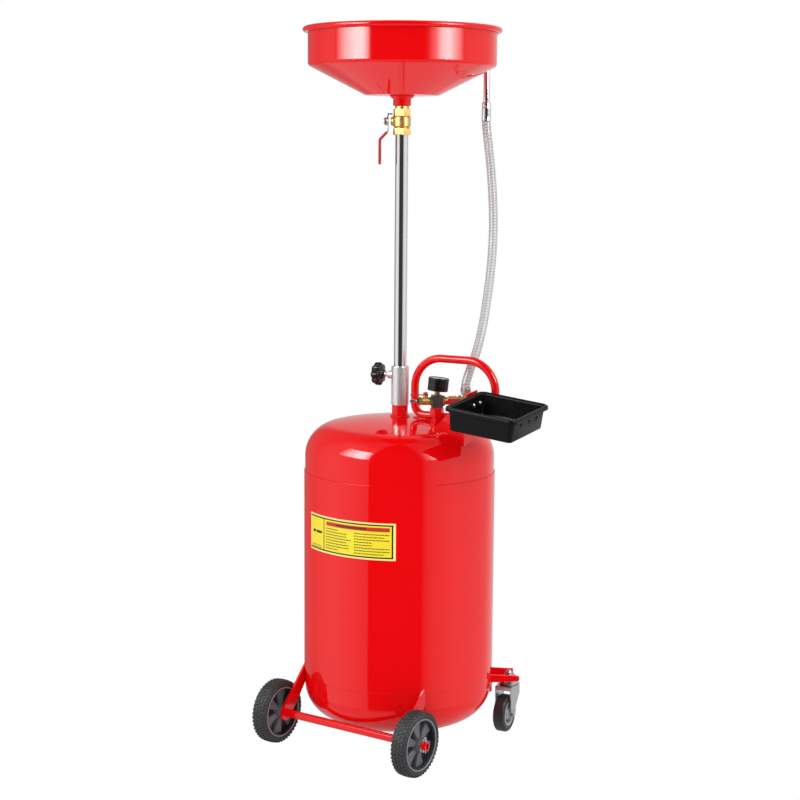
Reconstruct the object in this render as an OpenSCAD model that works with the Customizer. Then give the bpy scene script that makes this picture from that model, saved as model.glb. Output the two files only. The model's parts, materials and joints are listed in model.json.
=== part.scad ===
// Portable waste-oil drain: a wheeled tank with a raised catch bowl on a sliding mast.
// Millimetres, +Z up, floor at z = 0. Sizes are laid out from the mast's axis and moved
// by mast_x and mast_y, so the origin is the centre of the footprint on the floor.
// -Y is the side with the big wheels and the label, +Y the side with the casters.

/* [Tank] */
// Outside diameter of the tank shell
tank_d = 400; // [380:1:410]
// Height of the shell between its two welded seams
shell_h = 428; // [410:1:440]
// Height of the bottom seam above the floor
shell_z = 148; // [146:1:152]
// Thickness of the shell and head sheet
sheet = 2; // [1.5:0.5:2.5]
// Straight part of each head that shows beyond its seam
head_flange = 30; // [26:1:34]
// Knuckle radius of the heads
head_knuckle = 68; // [60:1:74]
// Crown radius of the heads
head_crown = 720; // [680:10:780]

/* [Mast and bowl] */
// Outside diameter of the sliding mast tube
mast_d = 26.7; // [26:0.1:27]
// Wall of the mast tube
mast_wall = 2; // [1.5:0.5:3]
// Height of the catch bowl's flat bottom above the floor
bowl_z = 1348; // [1300:1:1400]
// Outside radius of the bowl's wall
bowl_r = 192; // [186:1:196]
// Radius of the bowl's flat bottom
bowl_flat_r = 75; // [65:1:85]
// Height of the bowl's cone
bowl_cone_h = 59; // [50:1:70]
// Height of the bowl from its flat bottom to the centre of the rim's roll
bowl_h = 130; // [120:1:140]
// Thickness of the bowl's sheet
bowl_sheet = 1.5; // [1:0.1:2]
// Radius of the rolled rim
rim_roll_r = 5.5; // [5:0.1:6]

/* [Handle and tray] */
// Diameter of the handle's tube
handle_d = 16.5; // [15:0.5:18]
// Distance from the mast's axis to the handle's inner leg
handle_x0 = 32; // [30:1:42]
// Distance from the mast's axis to the handle's outer leg
handle_x1 = 219; // [210:1:240]
// Height of the handle's top bar above the floor
handle_top = 814; // [805:1:830]
// Tray size away from the tank, over its lip
tray_l = 157; // [140:1:165]
// Tray size along the tank, over its lip
tray_w = 160; // [130:1:165]
// Tray depth
tray_h = 49; // [40:1:55]

/* [Running gear] */
// Radius of the two big wheels
wheel_r = 66.7; // [66:0.1:68]
// Width of the big wheels' tyres
wheel_w = 34; // [30:1:36]
// Distance from the mast's axis to the middle of each big wheel
wheel_x = 176; // [175:1:180]
// Distance from the mast's axis to the axle
axle_y = 193; // [190:1:200]
// Diameter of the axle tube
axle_d = 17; // [16:0.5:18]
// Radius of the caster wheels
caster_r = 40; // [38:1:40]
// Width of the caster wheels
caster_w = 26; // [22:1:28]
// Horizontal distance between a caster's swivel and its axle
caster_trail = 22; // [18:1:26]
// Angle at which the casters stand at rest
caster_turn = 10; // [0:1:15]

/* [Hidden] */
$fn = 64;

// Where the mast's axis stands from the centre of the footprint
mast_x = -75.47;
mast_y = 28.6;

slide_gap = 0.3;  // gap round a part that slides
run_gap = 0.05;   // radial gap of a pin that turns in its bore
eps = 0.01;

// ---- tank ----
tank_r = tank_d / 2;
shell_top = shell_z + shell_h;
head_r = tank_r - sheet;
head_lap = 20;    // how far a head reaches into the shell
knuckle_x = head_r - head_knuckle;
head_rise = head_crown - sqrt(pow(head_crown - head_knuckle, 2) - pow(knuckle_x, 2));
head_h = head_flange + head_rise;
crown_z = shell_top + head_h;
tangent_angle = asin(knuckle_x / (head_crown - head_knuckle));
function dome_z(r) = crown_z - head_crown + sqrt(head_crown * head_crown - r * r);

// ---- mast ----
mast_r = mast_d / 2;
guide_r = mast_r + slide_gap;
socket_d = 33.4;
socket_top = 712;
socket_bottom = 621;
sleeve_d = 36.6;
sleeve_top = 793;
mast_top = 1281;
mast_bottom = 600;
mast_flare_top = socket_bottom - 1;
knob_z = 774;
knob_dir = 190;   // compass angle of the clamp knob
knob_in = 36;     // nearest face of the knob from the mast's axis
knob_len = 24;
stud_r = 5;

// ---- bowl and its valve ----
cone_angle = atan2(bowl_cone_h, bowl_r - bowl_flat_r);
bend_r = 8;
rim_z = bowl_z + bowl_h;
rim_x = bowl_r + rim_roll_r - 0.5;
spud_bottom = bowl_z - 21;
valve_z0 = 1268.6;
valve_z = 1296;
valve_z1 = 1321;
valve_hex = 33;
valve_hex_h = 13;
valve_dir = 215;  // compass angle of the drain valve's stem
ball_r = 13;
flow_r = 9.5;
valve_stem_r = 5;
valve_stem_end = 33;
lever_face = 27;  // distance of the lever's strap from the mast's axis

// ---- hose and nozzle ----
nozzle_dir = 69.6;
nozzle_ring = 217;
nozzle_d = 13.6;
hook_r = 17;
hook_z = 1475.5;
ferrule_z0 = 1299.4;
ferrule_z1 = 1339.4;
hose_d = 18.5;
nozzle_foot = [nozzle_ring * cos(nozzle_dir), nozzle_ring * sin(nozzle_dir)];

// ---- manifold ----
block_pos = [102, -14];
arm_dir = 45;     // compass angle of the manifold's two arms
block_w = 21;
block_z0 = 716;
block_z1 = 742;
arm_z = 730;
socket_z0 = 697;
riser_d = 21.3;
gauge_tilt = 6;
gauge_d = 42.5;
gauge_h = 27;
air_pivot = 24;
discharge_pivot = 33;
elbow_x = 60;
barb_top = 764;
elbow_foot = block_pos + elbow_x * [cos(arm_dir), sin(arm_dir)];

// ---- tray ----
tray_pos = [274.4, -59, 741.2];
tray_tilt = [5, 6.2, 5];
tray_lip = 7;
tray_draft = 3;
tray_wall = 2.5;
tray_corner = 14;
lip_h = 9;
bracket_y = [22, 66];  // where the bracket starts and ends along the tray's inner side
bracket_t = 3;
bracket_drop = 130;
tray_screw_y = [31, 57];
tray_screw_z = -20;

// ---- running gear ----
axle_len = 2 * (wheel_x + wheel_w / 2 + 13);
rim_r = 52.2;
tyre_shoulder = 12;
bracket_x = 152;  // middle of the axle brackets' plates
plate_t = 5;
caster_pos = [174, 168];
web_z = 112;
web_t = 3;
channel_w = 60;
channel_end = 16;
fork_in = 16;     // half the distance between a fork's legs
fork_t = 2.5;
fork_top = 99;
kingpin_r = 6;

// The route of the hose's middle line, from the elbow's barb to the ferrule
hose_route = [[elbow_foot.x, elbow_foot.y, 742], [elbow_foot.x, elbow_foot.y, 764],
    [146, 40, 790], [148, 62, 828], [144.5, 90, 878], [138, 116, 932], [129, 146, 1005],
    [118, 169, 1078], [105, 186, 1142], [91, 197.5, 1212], [80.5, 202.5, 1262],
    [nozzle_foot.x, nozzle_foot.y, ferrule_z0 - 4], [nozzle_foot.x, nozzle_foot.y, ferrule_z0 + 6]];

// Points along an arc, from angle a0 to angle a1
function arc(c, r, a0, a1, n = 8) = [for (i = [0:n]) c + r * [cos(a0 + (a1 - a0) * i / n), sin(a0 + (a1 - a0) * i / n)]];
function reversed(v) = [for (i = [len(v) - 1:-1:0]) v[i]];

// ---- shared shapes ----
module turned(dir, z = 0) translate([0, 0, z]) rotate([0, 0, dir]) rotate([0, 90, 0]) children();

module ring(r_out, r_in, h) {
    difference() {
        cylinder(r = r_out, h = h);
        translate([0, 0, -1]) cylinder(r = r_in, h = h + 2);
    }
}

module hex(af, h) cylinder(d = af / cos(30), h = h, $fn = 6);

module bend(r_bend, d, angle) rotate_extrude(angle = angle) translate([r_bend, 0]) circle(d = d);

module rounded_rect(l, w, r) {
    for (x = [-1, 1], y = [-1, 1]) translate([x * (l / 2 - r), y * (w / 2 - r)]) circle(r = r);
    square([l - 2 * r, w], center = true);
    square([l, w - 2 * r], center = true);
}

// Half outline of a dished head, from the open edge to the middle of the crown
function head_line(inset) = concat(
    [[head_r - inset, -head_lap]],
    arc([knuckle_x, head_flange], head_knuckle - inset, 0, 90 - tangent_angle, 10),
    arc([0, head_h - head_crown], head_crown - inset, 90 - tangent_angle, 90, 6));

module dished_head(hole_r) {
    difference() {
        rotate_extrude() polygon(concat(head_line(0), reversed(head_line(sheet))));
        if (hole_r > 0) translate([0, 0, head_h - 20]) cylinder(r = hole_r, h = 40);
    }
}

// The outside of the tank as one plain solid, used to trim what is welded to it
module tank_envelope() {
    translate([0, 0, shell_z]) cylinder(r = tank_r, h = shell_h);
    translate([0, 0, shell_top]) rotate_extrude() polygon(concat(head_line(0), [[0, -head_lap]]));
    translate([0, 0, shell_z]) mirror([0, 0, 1]) rotate_extrude() polygon(concat(head_line(0), [[0, -head_lap]]));
}

module at_block() translate([block_pos.x, block_pos.y, 0]) rotate([0, 0, arm_dir]) children();
module at_tray() translate(tray_pos) rotate(tray_tilt) children();
// A caster's own frame: its swivel on Z, its axle along X and trailing towards -Y.
// Both casters stand turned the same way, so the turn isn't mirrored.
module caster_frame(side) {
    translate([side * caster_pos.x, caster_pos.y, 0]) rotate([0, 0, caster_turn]) children();
}
module at_wheel(side) translate([side * wheel_x, -axle_y, wheel_r]) rotate([0, 90, 0]) children();

// ---- tank ----
module tank_shell() {
    color([0.80, 0.03, 0.05]) translate([0, 0, shell_z]) ring(tank_r, tank_r - sheet, shell_h);
}

module top_head() {
    color([0.80, 0.03, 0.05]) difference() {
        translate([0, 0, shell_top]) dished_head(socket_d / 2);
        translate([block_pos.x, block_pos.y, crown_z - 40]) cylinder(d = riser_d, h = 60);
    }
}

module bottom_head() {
    color([0.80, 0.03, 0.05]) translate([0, 0, shell_z]) mirror([0, 0, 1]) dished_head(0);
}

// Welded pipe that guides the mast, with its weld bead on the crown
module mast_socket() {
    color([0.78, 0.03, 0.05]) difference() {
        union() {
            translate([0, 0, socket_bottom]) cylinder(d = socket_d, h = socket_top - socket_bottom);
            translate([0, 0, crown_z - 1]) cylinder(r1 = socket_d / 2 + 4, r2 = socket_d / 2 + 0.5, h = 4);
        }
        translate([0, 0, socket_bottom - 1]) cylinder(r = guide_r, h = socket_top - socket_bottom + 2);
        difference() {
            translate([0, 0, crown_z - 12]) cylinder(r = socket_d, h = 12);
            translate([0, 0, crown_z - 13]) cylinder(d = socket_d, h = 14);
        }
    }
}

// Steel sleeve on top of the socket, with the welded boss of the clamp screw
module mast_sleeve() {
    color([0.70, 0.70, 0.71]) difference() {
        union() {
            translate([0, 0, socket_top]) cylinder(d = sleeve_d, h = sleeve_top - socket_top);
            turned(knob_dir, knob_z) cylinder(r = 8.5, h = sleeve_d / 2 + 8);
        }
        translate([0, 0, socket_top - 1]) cylinder(r = guide_r, h = sleeve_top - socket_top + 2);
        turned(knob_dir, knob_z) cylinder(r = stud_r + run_gap, h = sleeve_d);
    }
}

// ---- handle ----
handle_top_r = 62;
handle_low_r = 22;
handle_y = 6.7;
handle_yaw = 5;
// Height of the handle's low bar, a whole tenth so its pieces meet exactly
handle_low = round(10 * (dome_z(handle_x0) + handle_d / 2 - 0.6)) / 10;

module handle_bar(x0, x1, z) translate([x0, handle_y, z]) rotate([0, 90, 0]) cylinder(d = handle_d, h = x1 - x0);

module handle_corner(x, z, r, start) {
    translate([x, handle_y, z]) rotate([90, 0, 0]) rotate([0, 0, start]) bend(r, handle_d, 90);
}

module handle_saddle(x) translate([x - 9, handle_y - 2.5, handle_low - 40]) cube([18, 5, 40]);

// One leg of the handle, with its two corners
module handle_leg(x, side) {
    cx = x - side * handle_low_r;
    handle_corner(cx, handle_low + handle_low_r, handle_low_r, side < 0 ? 180 : 270);
    translate([x, handle_y, handle_low + handle_low_r]) cylinder(d = handle_d, h = handle_top - handle_top_r - handle_low - handle_low_r);
    handle_corner(x - side * handle_top_r, handle_top - handle_top_r, handle_top_r, side < 0 ? 90 : 0);
}

module handle() {
    color([0.80, 0.03, 0.05]) rotate([0, 0, handle_yaw]) {
        handle_leg(handle_x0, -1);
        handle_leg(handle_x1, 1);
        handle_bar(handle_x0 + handle_low_r, handle_x1 - handle_low_r, handle_low);
        handle_bar(handle_x0 + handle_top_r, handle_x1 - handle_top_r, handle_top);
        difference() {
            union() {
                handle_saddle(74);
                handle_saddle(142);
            }
            tank_envelope();
        }
    }
}

// ---- tool tray ----
tray_in = -tray_l / 2;
plate_x = tray_in - 0.5 - bracket_t;

// Back plate and two gussets, welded to the dome
module tray_bracket() {
    color([0.80, 0.03, 0.05]) difference() {
        at_tray() difference() {
            union() {
                translate([plate_x, bracket_y[0], -bracket_drop]) cube([bracket_t, bracket_y[1] - bracket_y[0], bracket_drop + 3]);
                for (y = [bracket_y[0], bracket_y[1] - bracket_t])
                    translate([plate_x + eps, y + bracket_t, 0]) rotate([90, 0, 0]) linear_extrude(bracket_t)
                        polygon([[0, -18], [-18, -18], [-69, -84], [-69, -bracket_drop], [0, -bracket_drop]]);
            }
            for (y = tray_screw_y)
                translate([plate_x - 1, y, tray_screw_z]) rotate([0, 90, 0]) cylinder(r = 2.75, h = bracket_t + 2);
        }
        tank_envelope();
    }
}

module tray_slab(inset, z) {
    translate([0, 0, z]) linear_extrude(0.1)
        rounded_rect(tray_l - 2 * inset, tray_w - 2 * inset, tray_corner - inset / 2, $fn = 32);
}

module tool_tray() {
    color([0.06, 0.06, 0.065]) at_tray() difference() {
        union() {
            hull() {
                tray_slab(tray_lip, -0.1);
                tray_slab(tray_lip + tray_draft, -tray_h);
            }
            translate([0, 0, -lip_h]) linear_extrude(lip_h) rounded_rect(tray_l, tray_w, tray_corner);
            for (y = tray_screw_y)
                translate([tray_in, y, tray_screw_z]) rotate([0, 90, 0]) cylinder(r = 6, h = tray_lip + 3);
        }
        hull() {
            tray_slab(tray_lip + tray_wall, 0.5);
            tray_slab(tray_lip + tray_draft + tray_wall, -tray_h + tray_wall);
        }
        for (y = tray_screw_y)
            translate([tray_in - 1, y, tray_screw_z]) rotate([0, 90, 0]) cylinder(r = 2.75, h = 20);
        for (y = [-1:1])
            translate([tray_l / 2 - 20, y * 34, -20]) rotate([0, 90, 0]) cylinder(r = 5, h = 20);
    }
}

module tray_screws() {
    color([0.72, 0.72, 0.72]) at_tray() for (y = tray_screw_y) translate([0, y, tray_screw_z]) {
        translate([plate_x - 4, 0, 0]) rotate([0, 90, 0]) cylinder(r = 2.5, h = 20);
        translate([plate_x - 4, 0, 0]) rotate([0, 90, 0]) hex(8, 4);
        translate([tray_in + tray_lip + tray_wall + 1.8, 0, 0]) rotate([0, 90, 0]) cylinder(r1 = 5, r2 = 3, h = 3);
    }
}

// ---- manifold ----
module manifold_riser() {
    color([0.78, 0.03, 0.05]) difference() {
        union() {
            at_block() translate([0, 0, crown_z - 26]) cylinder(d = riser_d, h = socket_z0 - crown_z + 26);
            at_block() translate([0, 0, socket_z0]) hex(25, block_z0 - socket_z0);
            difference() {
                at_block() translate([0, 0, dome_z(norm(block_pos)) - 3]) cylinder(r1 = riser_d / 2 + 5, r2 = riser_d / 2 + 1, h = 6);
                tank_envelope();
            }
        }
        at_block() translate([0, 0, crown_z - 30]) cylinder(r = 8, h = 60);
    }
}

module manifold_block() {
    color([0.42, 0.42, 0.44]) at_block() difference() {
        translate([-block_w / 2, -block_w / 2, block_z0]) cube([block_w, block_w, block_z1 - block_z0]);
        translate([-block_w, 0, arm_z]) rotate([0, 90, 0]) cylinder(r = 4, h = 2 * block_w);
        translate([0, 0, block_z0 - 1]) cylinder(r = 5, h = 15);
        translate([0, 0, block_z1]) rotate([0, gauge_tilt, 0]) translate([0, 0, -8]) cylinder(r = 4, h = 12);
    }
}

module dip_tube() {
    color([0.72, 0.72, 0.74]) at_block() translate([0, 0, shell_z - 60]) ring(4.9, 3.9, block_z0 + 10 - shell_z + 60);
}

module at_gauge() at_block() translate([0, 0, block_z1]) rotate([0, gauge_tilt, 0]) children();

module gauge_stem() {
    color([0.78, 0.58, 0.24]) at_gauge() {
        translate([0, 0, -6]) cylinder(r = 3.9, h = 8);
        translate([0, 0, 0.6]) cylinder(r1 = 4.5, r2 = 7.4, h = 8.4);
    }
}

gauge_z = 9;
module gauge_case() {
    color([0.05, 0.05, 0.055]) at_gauge() translate([0, 0, gauge_z]) difference() {
        cylinder(d = gauge_d, h = gauge_h);
        translate([0, 0, gauge_h - 7]) cylinder(d = gauge_d - 4, h = 8);
        translate([0, 0, gauge_h - 12]) cylinder(r = 2, h = 8);
    }
}

module gauge_dial() {
    color([0.93, 0.93, 0.90]) at_gauge() translate([0, 0, gauge_z + gauge_h - 7]) difference() {
        cylinder(d = gauge_d - 4.2, h = 1);
        translate([0, 0, -1]) cylinder(r = 2, h = 3);
    }
}

module gauge_needle() {
    color([0.08, 0.08, 0.08]) at_gauge() translate([0, 0, gauge_z + gauge_h - 7]) {
        translate([0, 0, -4]) cylinder(r = 1.2, h = 6.4);
        translate([0, 0, 1.8]) cylinder(r = 2.4, h = 0.8);
        rotate([0, 0, 225 - arm_dir]) translate([0, 0, 1.8]) linear_extrude(0.6)
            polygon([[-5, -1.2], [15, -0.4], [15, 0.4], [-5, 1.2]]);
    }
}

module gauge_lens() {
    color([0.85, 0.9, 0.92, 0.4]) at_gauge() translate([0, 0, gauge_z + gauge_h - 2.6]) cylinder(d = gauge_d - 4.2, h = 2);
}

// Straight brass valve along the arm, from x0 to x1, with a bored stem boss at the pivot
module small_valve(x0, x1, r, pivot, boss_turn) {
    difference() {
        union() {
            translate([x0, 0, arm_z]) rotate([0, 90, 0]) cylinder(r = r - 2, h = x1 - x0);
            translate([x0, 0, arm_z]) rotate([0, 90, 0]) hex(2 * r - 1, 5);
            translate([pivot - 7, 0, arm_z]) rotate([0, 90, 0]) cylinder(r = r, h = 14);
            translate([x1 - 5, 0, arm_z]) rotate([0, 90, 0]) hex(2 * r - 1, 5);
            translate([pivot, 0, arm_z]) rotate([boss_turn, 0, 0]) cylinder(r = 5, h = r + 4);
        }
        translate([x0 - 1, 0, arm_z]) rotate([0, 90, 0]) cylinder(r = 3, h = x1 - x0 + 2);
        translate([pivot, 0, arm_z]) rotate([boss_turn, 0, 0]) cylinder(r = 3 + run_gap, h = r + 6);
    }
}

module air_valve_body() {
    color([0.78, 0.58, 0.24]) at_block() rotate([0, 0, 180]) small_valve(block_w / 2, 38, 8, air_pivot, 0);
}

// Stem, nut and red lever of the air valve, which points along the arm when open
module air_valve_lever() {
    color([0.78, 0.05, 0.05]) at_block() rotate([0, 0, 180]) translate([air_pivot, 0, arm_z]) {
        cylinder(r = 3, h = 15);
        translate([0, 0, 12.3]) cylinder(r = 6, h = 2);
        translate([0, 0, 14.3]) hex(8, 4);
        translate([-5, -4, 12.5]) cube([30, 8, 1.6]);
        translate([14, -4.5, 12]) cube([17, 9, 2.6]);
    }
}

plug_end = 56;
module air_plug() {
    color([0.78, 0.78, 0.80]) at_block() translate([0, 0, arm_z]) rotate([0, -90, 0]) difference() {
        union() {
            translate([0, 0, 30]) cylinder(r = 2.9, h = 10);
            translate([0, 0, 38]) hex(11, 5);
            translate([0, 0, 43]) cylinder(r = 4.4, h = 3);
            translate([0, 0, 45]) cylinder(r = 3.9, h = plug_end - 45);
        }
        translate([0, 0, 29]) cylinder(r = 2, h = 30);
    }
}

module discharge_valve_body() {
    color([0.78, 0.58, 0.24]) at_block() small_valve(block_w / 2, 50, 10, discharge_pivot, 90);
}

// Stem and red wing handle of the discharge valve, along the arm when open
module discharge_valve_lever() {
    color([0.80, 0.05, 0.05]) at_block() translate([discharge_pivot, 0, arm_z]) rotate([90, 0, 0]) {
        cylinder(r = 3, h = 17);
        translate([0, 0, 14.3]) linear_extrude(3.2) rounded_rect(30, 13, 6);
        translate([0, 0, 17]) hex(8, 4);
    }
}

module hose_elbow() {
    color([0.78, 0.58, 0.24]) at_block() difference() {
        union() {
            translate([50, 0, arm_z]) rotate([0, 90, 0]) cylinder(r = 7, h = elbow_x - 50);
            translate([elbow_x, 0, arm_z]) sphere(r = 9);
            translate([elbow_x, 0, arm_z]) cylinder(r = 6.5, h = barb_top - arm_z);
            for (z = [742:6:760]) translate([elbow_x, 0, z]) cylinder(r1 = 6.6, r2 = 6.9, h = 3);
        }
        translate([49, 0, arm_z]) rotate([0, 90, 0]) cylinder(r = 4.2, h = elbow_x - 49);
        translate([elbow_x, 0, arm_z]) cylinder(r = 4.2, h = barb_top - arm_z + 1);
        translate([elbow_x, 0, arm_z]) sphere(r = 4.2);
    }
}

module hose_clamp() {
    color([0.75, 0.75, 0.76]) at_block() translate([elbow_x, 0, 747]) {
        ring(hose_d / 2 + 1.4, hose_d / 2 + 0.4, 9);
        translate([-6, -hose_d / 2 - 6, 1]) cube([12, 6, 7]);
    }
}

// ---- hose, ferrule and nozzle ----
module hose_leg(from, to) {
    d = to - from;
    translate(from) rotate([0, acos(d.z / norm(d)), atan2(d.y, d.x)]) cylinder(d = hose_d, h = norm(d));
}

module hose() {
    color([0.82, 0.83, 0.84, 0.6]) difference() {
        union() {
            for (i = [1:len(hose_route) - 1]) hose_leg(hose_route[i - 1], hose_route[i]);
            for (i = [1:len(hose_route) - 2]) translate(hose_route[i]) sphere(d = hose_d + 0.4);
        }
        translate(hose_route[0] - [0, 0, 1]) cylinder(r = 7, h = barb_top - hose_route[0].z + 1.5);
        translate([nozzle_foot.x, nozzle_foot.y, ferrule_z0 - 4]) cylinder(d = nozzle_d - 3, h = 20);
    }
}

module at_nozzle() rotate([0, 0, nozzle_dir]) translate([nozzle_ring, 0, 0]) children();

module hose_ferrule() {
    color([0.80, 0.80, 0.82]) at_nozzle() {
        translate([0, 0, ferrule_z0]) ring(10.1, 9.6, 8);
        translate([0, 0, ferrule_z0 + 8]) ring(9.8, nozzle_d / 2, ferrule_z1 - ferrule_z0 - 8);
        translate([0, 0, ferrule_z0 + 2]) ring(10.5, 9.9, 2);
        translate([0, 0, ferrule_z1 - 12]) ring(10.4, 9.6, 2);
    }
}

// Rigid tube whose hooked end hangs over the bowl's rim
module nozzle_tube() {
    color([0.80, 0.80, 0.82]) at_nozzle() {
        translate([0, 0, ferrule_z0 + 8]) ring(nozzle_d / 2, nozzle_d / 2 - 1.2, hook_z - ferrule_z0 - 8);
        translate([-hook_r, 0, hook_z]) rotate([90, 0, 0]) rotate_extrude(angle = 180) translate([hook_r, 0])
            difference() {
                circle(d = nozzle_d);
                circle(d = nozzle_d - 2.4);
            }
        translate([-2 * hook_r, 0, hook_z - 28]) ring(nozzle_d / 2, nozzle_d / 2 - 1.2, 28);
    }
}

// ---- mast, bowl and drain valve ----
module mast_tube() {
    color([0.85, 0.85, 0.87]) difference() {
        union() {
            translate([0, 0, mast_bottom]) cylinder(r = mast_r, h = mast_top - mast_bottom);
            translate([0, 0, mast_bottom]) cylinder(r = mast_r + 2.4, h = mast_flare_top - mast_bottom);
        }
        translate([0, 0, mast_bottom - 1]) cylinder(r = mast_r - mast_wall, h = mast_top - mast_bottom + 2);
    }
}

// Outline of the bowl's sheet, from the drain hole to the top of the wall
function bowl_line(inset) = let (
    low = [bowl_flat_r - bend_r * tan(cone_angle / 2), bowl_z + bend_r],
    high = [bowl_r - bend_r, bowl_z + bowl_cone_h + bend_r * tan(45 - cone_angle / 2)])
    concat([[14, bowl_z + inset]],
        arc(low, bend_r - inset, -90, cone_angle - 90, 3),
        arc(high, bend_r - inset, cone_angle - 90, 0, 6),
        [[bowl_r - inset, rim_z]]);

module bowl() {
    color([0.80, 0.03, 0.05]) {
        rotate_extrude() polygon(concat(bowl_line(0), reversed(bowl_line(bowl_sheet))));
        rotate_extrude() translate([rim_x, rim_z]) circle(r = rim_roll_r);
    }
}

module bowl_spud() {
    color([0.78, 0.03, 0.05]) difference() {
        union() {
            translate([0, 0, spud_bottom]) cylinder(d = 36.7, h = bowl_z - spud_bottom);
            translate([0, 0, bowl_z - 4]) cylinder(d = 46, h = 4);
            translate([0, 0, bowl_z - 6.5]) cylinder(d1 = 36.7, d2 = 46, h = 2.5);
        }
        translate([0, 0, spud_bottom - 1]) cylinder(r = 13.2, h = bowl_z - spud_bottom + 2);
    }
}

// Perforated disc over the outlet, which keeps drain plugs out of the valve
module bowl_strainer() {
    color([0.70, 0.70, 0.71]) translate([0, 0, bowl_z + bowl_sheet]) difference() {
        union() {
            cylinder(r = 34, h = 1.2);
            ring(34, 31.5, 3);
        }
        for (n = [1:3], i = [0:6 * n - 1])
            rotate([0, 0, 60 * i / n]) translate([n * 8, 0, -1]) cylinder(r = 2.2, h = 4);
        translate([0, 0, -1]) cylinder(r = 2.2, h = 4);
    }
}

module drain_valve_body() {
    color([0.80, 0.60, 0.25]) difference() {
        union() {
            translate([0, 0, valve_z0]) hex(valve_hex, valve_hex_h);
            translate([0, 0, valve_z1 - 10]) hex(valve_hex, 10);
            translate([0, 0, valve_z0]) cylinder(r = 15, h = bowl_z - 5 - valve_z0 - 17);
            translate([0, 0, valve_z - 8]) cylinder(r = 18, h = 16);
            translate([0, 0, valve_z - 12]) cylinder(r1 = 15, r2 = 18, h = 4);
            translate([0, 0, valve_z + 8]) cylinder(r1 = 18, r2 = 15, h = 4);
            translate([0, 0, valve_z1 - 1]) cylinder(r = 13.15, h = bowl_z - 4 - valve_z1);
            turned(valve_dir, valve_z) cylinder(r = 8, h = 23);
        }
        translate([0, 0, valve_z0 - 1]) cylinder(r = mast_r + run_gap, h = mast_top + 1 - valve_z0 + 1);
        translate([0, 0, valve_z0]) cylinder(r = flow_r, h = 100);
        translate([0, 0, valve_z]) sphere(r = ball_r + 0.4);
        turned(valve_dir, valve_z) cylinder(r = valve_stem_r + run_gap, h = 30);
    }
}

// Bored ball and its stem, which carries the lever
module drain_valve_ball() {
    color([0.82, 0.82, 0.84]) difference() {
        union() {
            translate([0, 0, valve_z]) sphere(r = ball_r);
            turned(valve_dir, valve_z) cylinder(r = valve_stem_r, h = valve_stem_end);
        }
        translate([0, 0, valve_z - 20]) cylinder(r = flow_r, h = 40);
    }
}

// The lever's strap: a flat eye on the stem, a step outwards and a long arm down
strap_t = 3;
strap_w = 15;
lever_step = 20;
lever_out = 17;
lever_end = 84;
lever_arm = lever_face + lever_out;
strap_side = [[0, lever_face], [lever_step + 1.2, lever_face], [lever_step + lever_out + 0.6, lever_arm - 0.6],
    [lever_end, lever_arm - 0.6], [lever_end, lever_arm - 0.6 + strap_t], [lever_step + lever_out - 0.6, lever_arm - 0.6 + strap_t],
    [lever_step, lever_face + strap_t], [0, lever_face + strap_t]];
module at_lever() turned(valve_dir, valve_z) children();

module drain_lever() {
    color([0.74, 0.74, 0.76]) at_lever() difference() {
        union() {
            translate([0, 0, lever_face]) cylinder(r = 11, h = strap_t);
            translate([-15, 3, lever_face]) cube([12, 8, strap_t]);
            translate([-16, 3, lever_face - 8]) cube([strap_t, 8, 8 + strap_t]);
            translate([0, strap_w / 2, 0]) rotate([90, 0, 0]) linear_extrude(strap_w) polygon(strap_side);
        }
        translate([0, 0, lever_face - 1]) cylinder(r = valve_stem_r + 0.1, h = 10);
    }
}

module drain_lever_sleeve() {
    color([0.78, 0.04, 0.04]) at_lever() difference() {
        translate([lever_step + lever_out + 4, -strap_w / 2 - 1.5, lever_arm - 2.2])
            cube([lever_end - lever_step - lever_out, strap_w + 3, strap_t + 3.2]);
        translate([lever_step + lever_out, -strap_w / 2 - 0.05, lever_arm - 0.65])
            cube([lever_end - lever_step - lever_out + 0.05, strap_w + 0.1, strap_t + 0.1]);
    }
}

module drain_lever_nut() {
    color([0.76, 0.76, 0.78]) at_lever() translate([0, 0, lever_face + strap_t]) difference() {
        union() {
            cylinder(r = 9, h = 1.2);
            translate([0, 0, 1.2]) hex(13, 5);
        }
        translate([0, 0, -1]) cylinder(r = valve_stem_r + run_gap, h = valve_stem_end - lever_face - strap_t + 1.1);
    }
}

// ---- clamp knob ----
module clamp_knob() {
    lobes = 8;
    color([0.05, 0.05, 0.055]) turned(knob_dir, knob_z) translate([0, 0, knob_in]) difference() {
        union() {
            cylinder(r1 = 8, r2 = 11, h = 6);
            translate([0, 0, 5]) cylinder(r = 19.6, h = knob_len - 5);
            for (i = [0:lobes - 1]) rotate([0, 0, i * 360 / lobes]) translate([18.8, 0, 5.5]) cylinder(r = 5.6, h = knob_len - 7);
        }
        translate([0, 0, -1]) cylinder(r = stud_r + 0.05, h = 15);
    }
}

module clamp_stud() {
    color([0.78, 0.78, 0.80]) turned(knob_dir, knob_z) translate([0, 0, mast_r + 0.5])
        cylinder(r = stud_r, h = knob_in + 12 - mast_r);
}

// ---- axle and big wheels ----
module axle_tube() {
    color([0.80, 0.03, 0.05]) translate([-axle_len / 2, -axle_y, wheel_r]) rotate([0, 90, 0]) difference() {
        cylinder(d = axle_d, h = axle_len);
        translate([0, 0, -1]) cylinder(d = axle_d - 5, h = axle_len + 2);
        for (z = [5, axle_len - 5]) translate([-axle_d, 0, z]) rotate([0, 90, 0]) cylinder(r = 1.8, h = 2 * axle_d);
    }
}

// Tangent point on a circle for a line from a point outside it
function tangent(p, c, r, side) = let (d = c - p, a = asin(r / norm(d)), t = atan2(d.y, d.x) + side * a,
    l = sqrt(d * d - r * r)) p + l * [cos(t), sin(t)];

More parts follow.
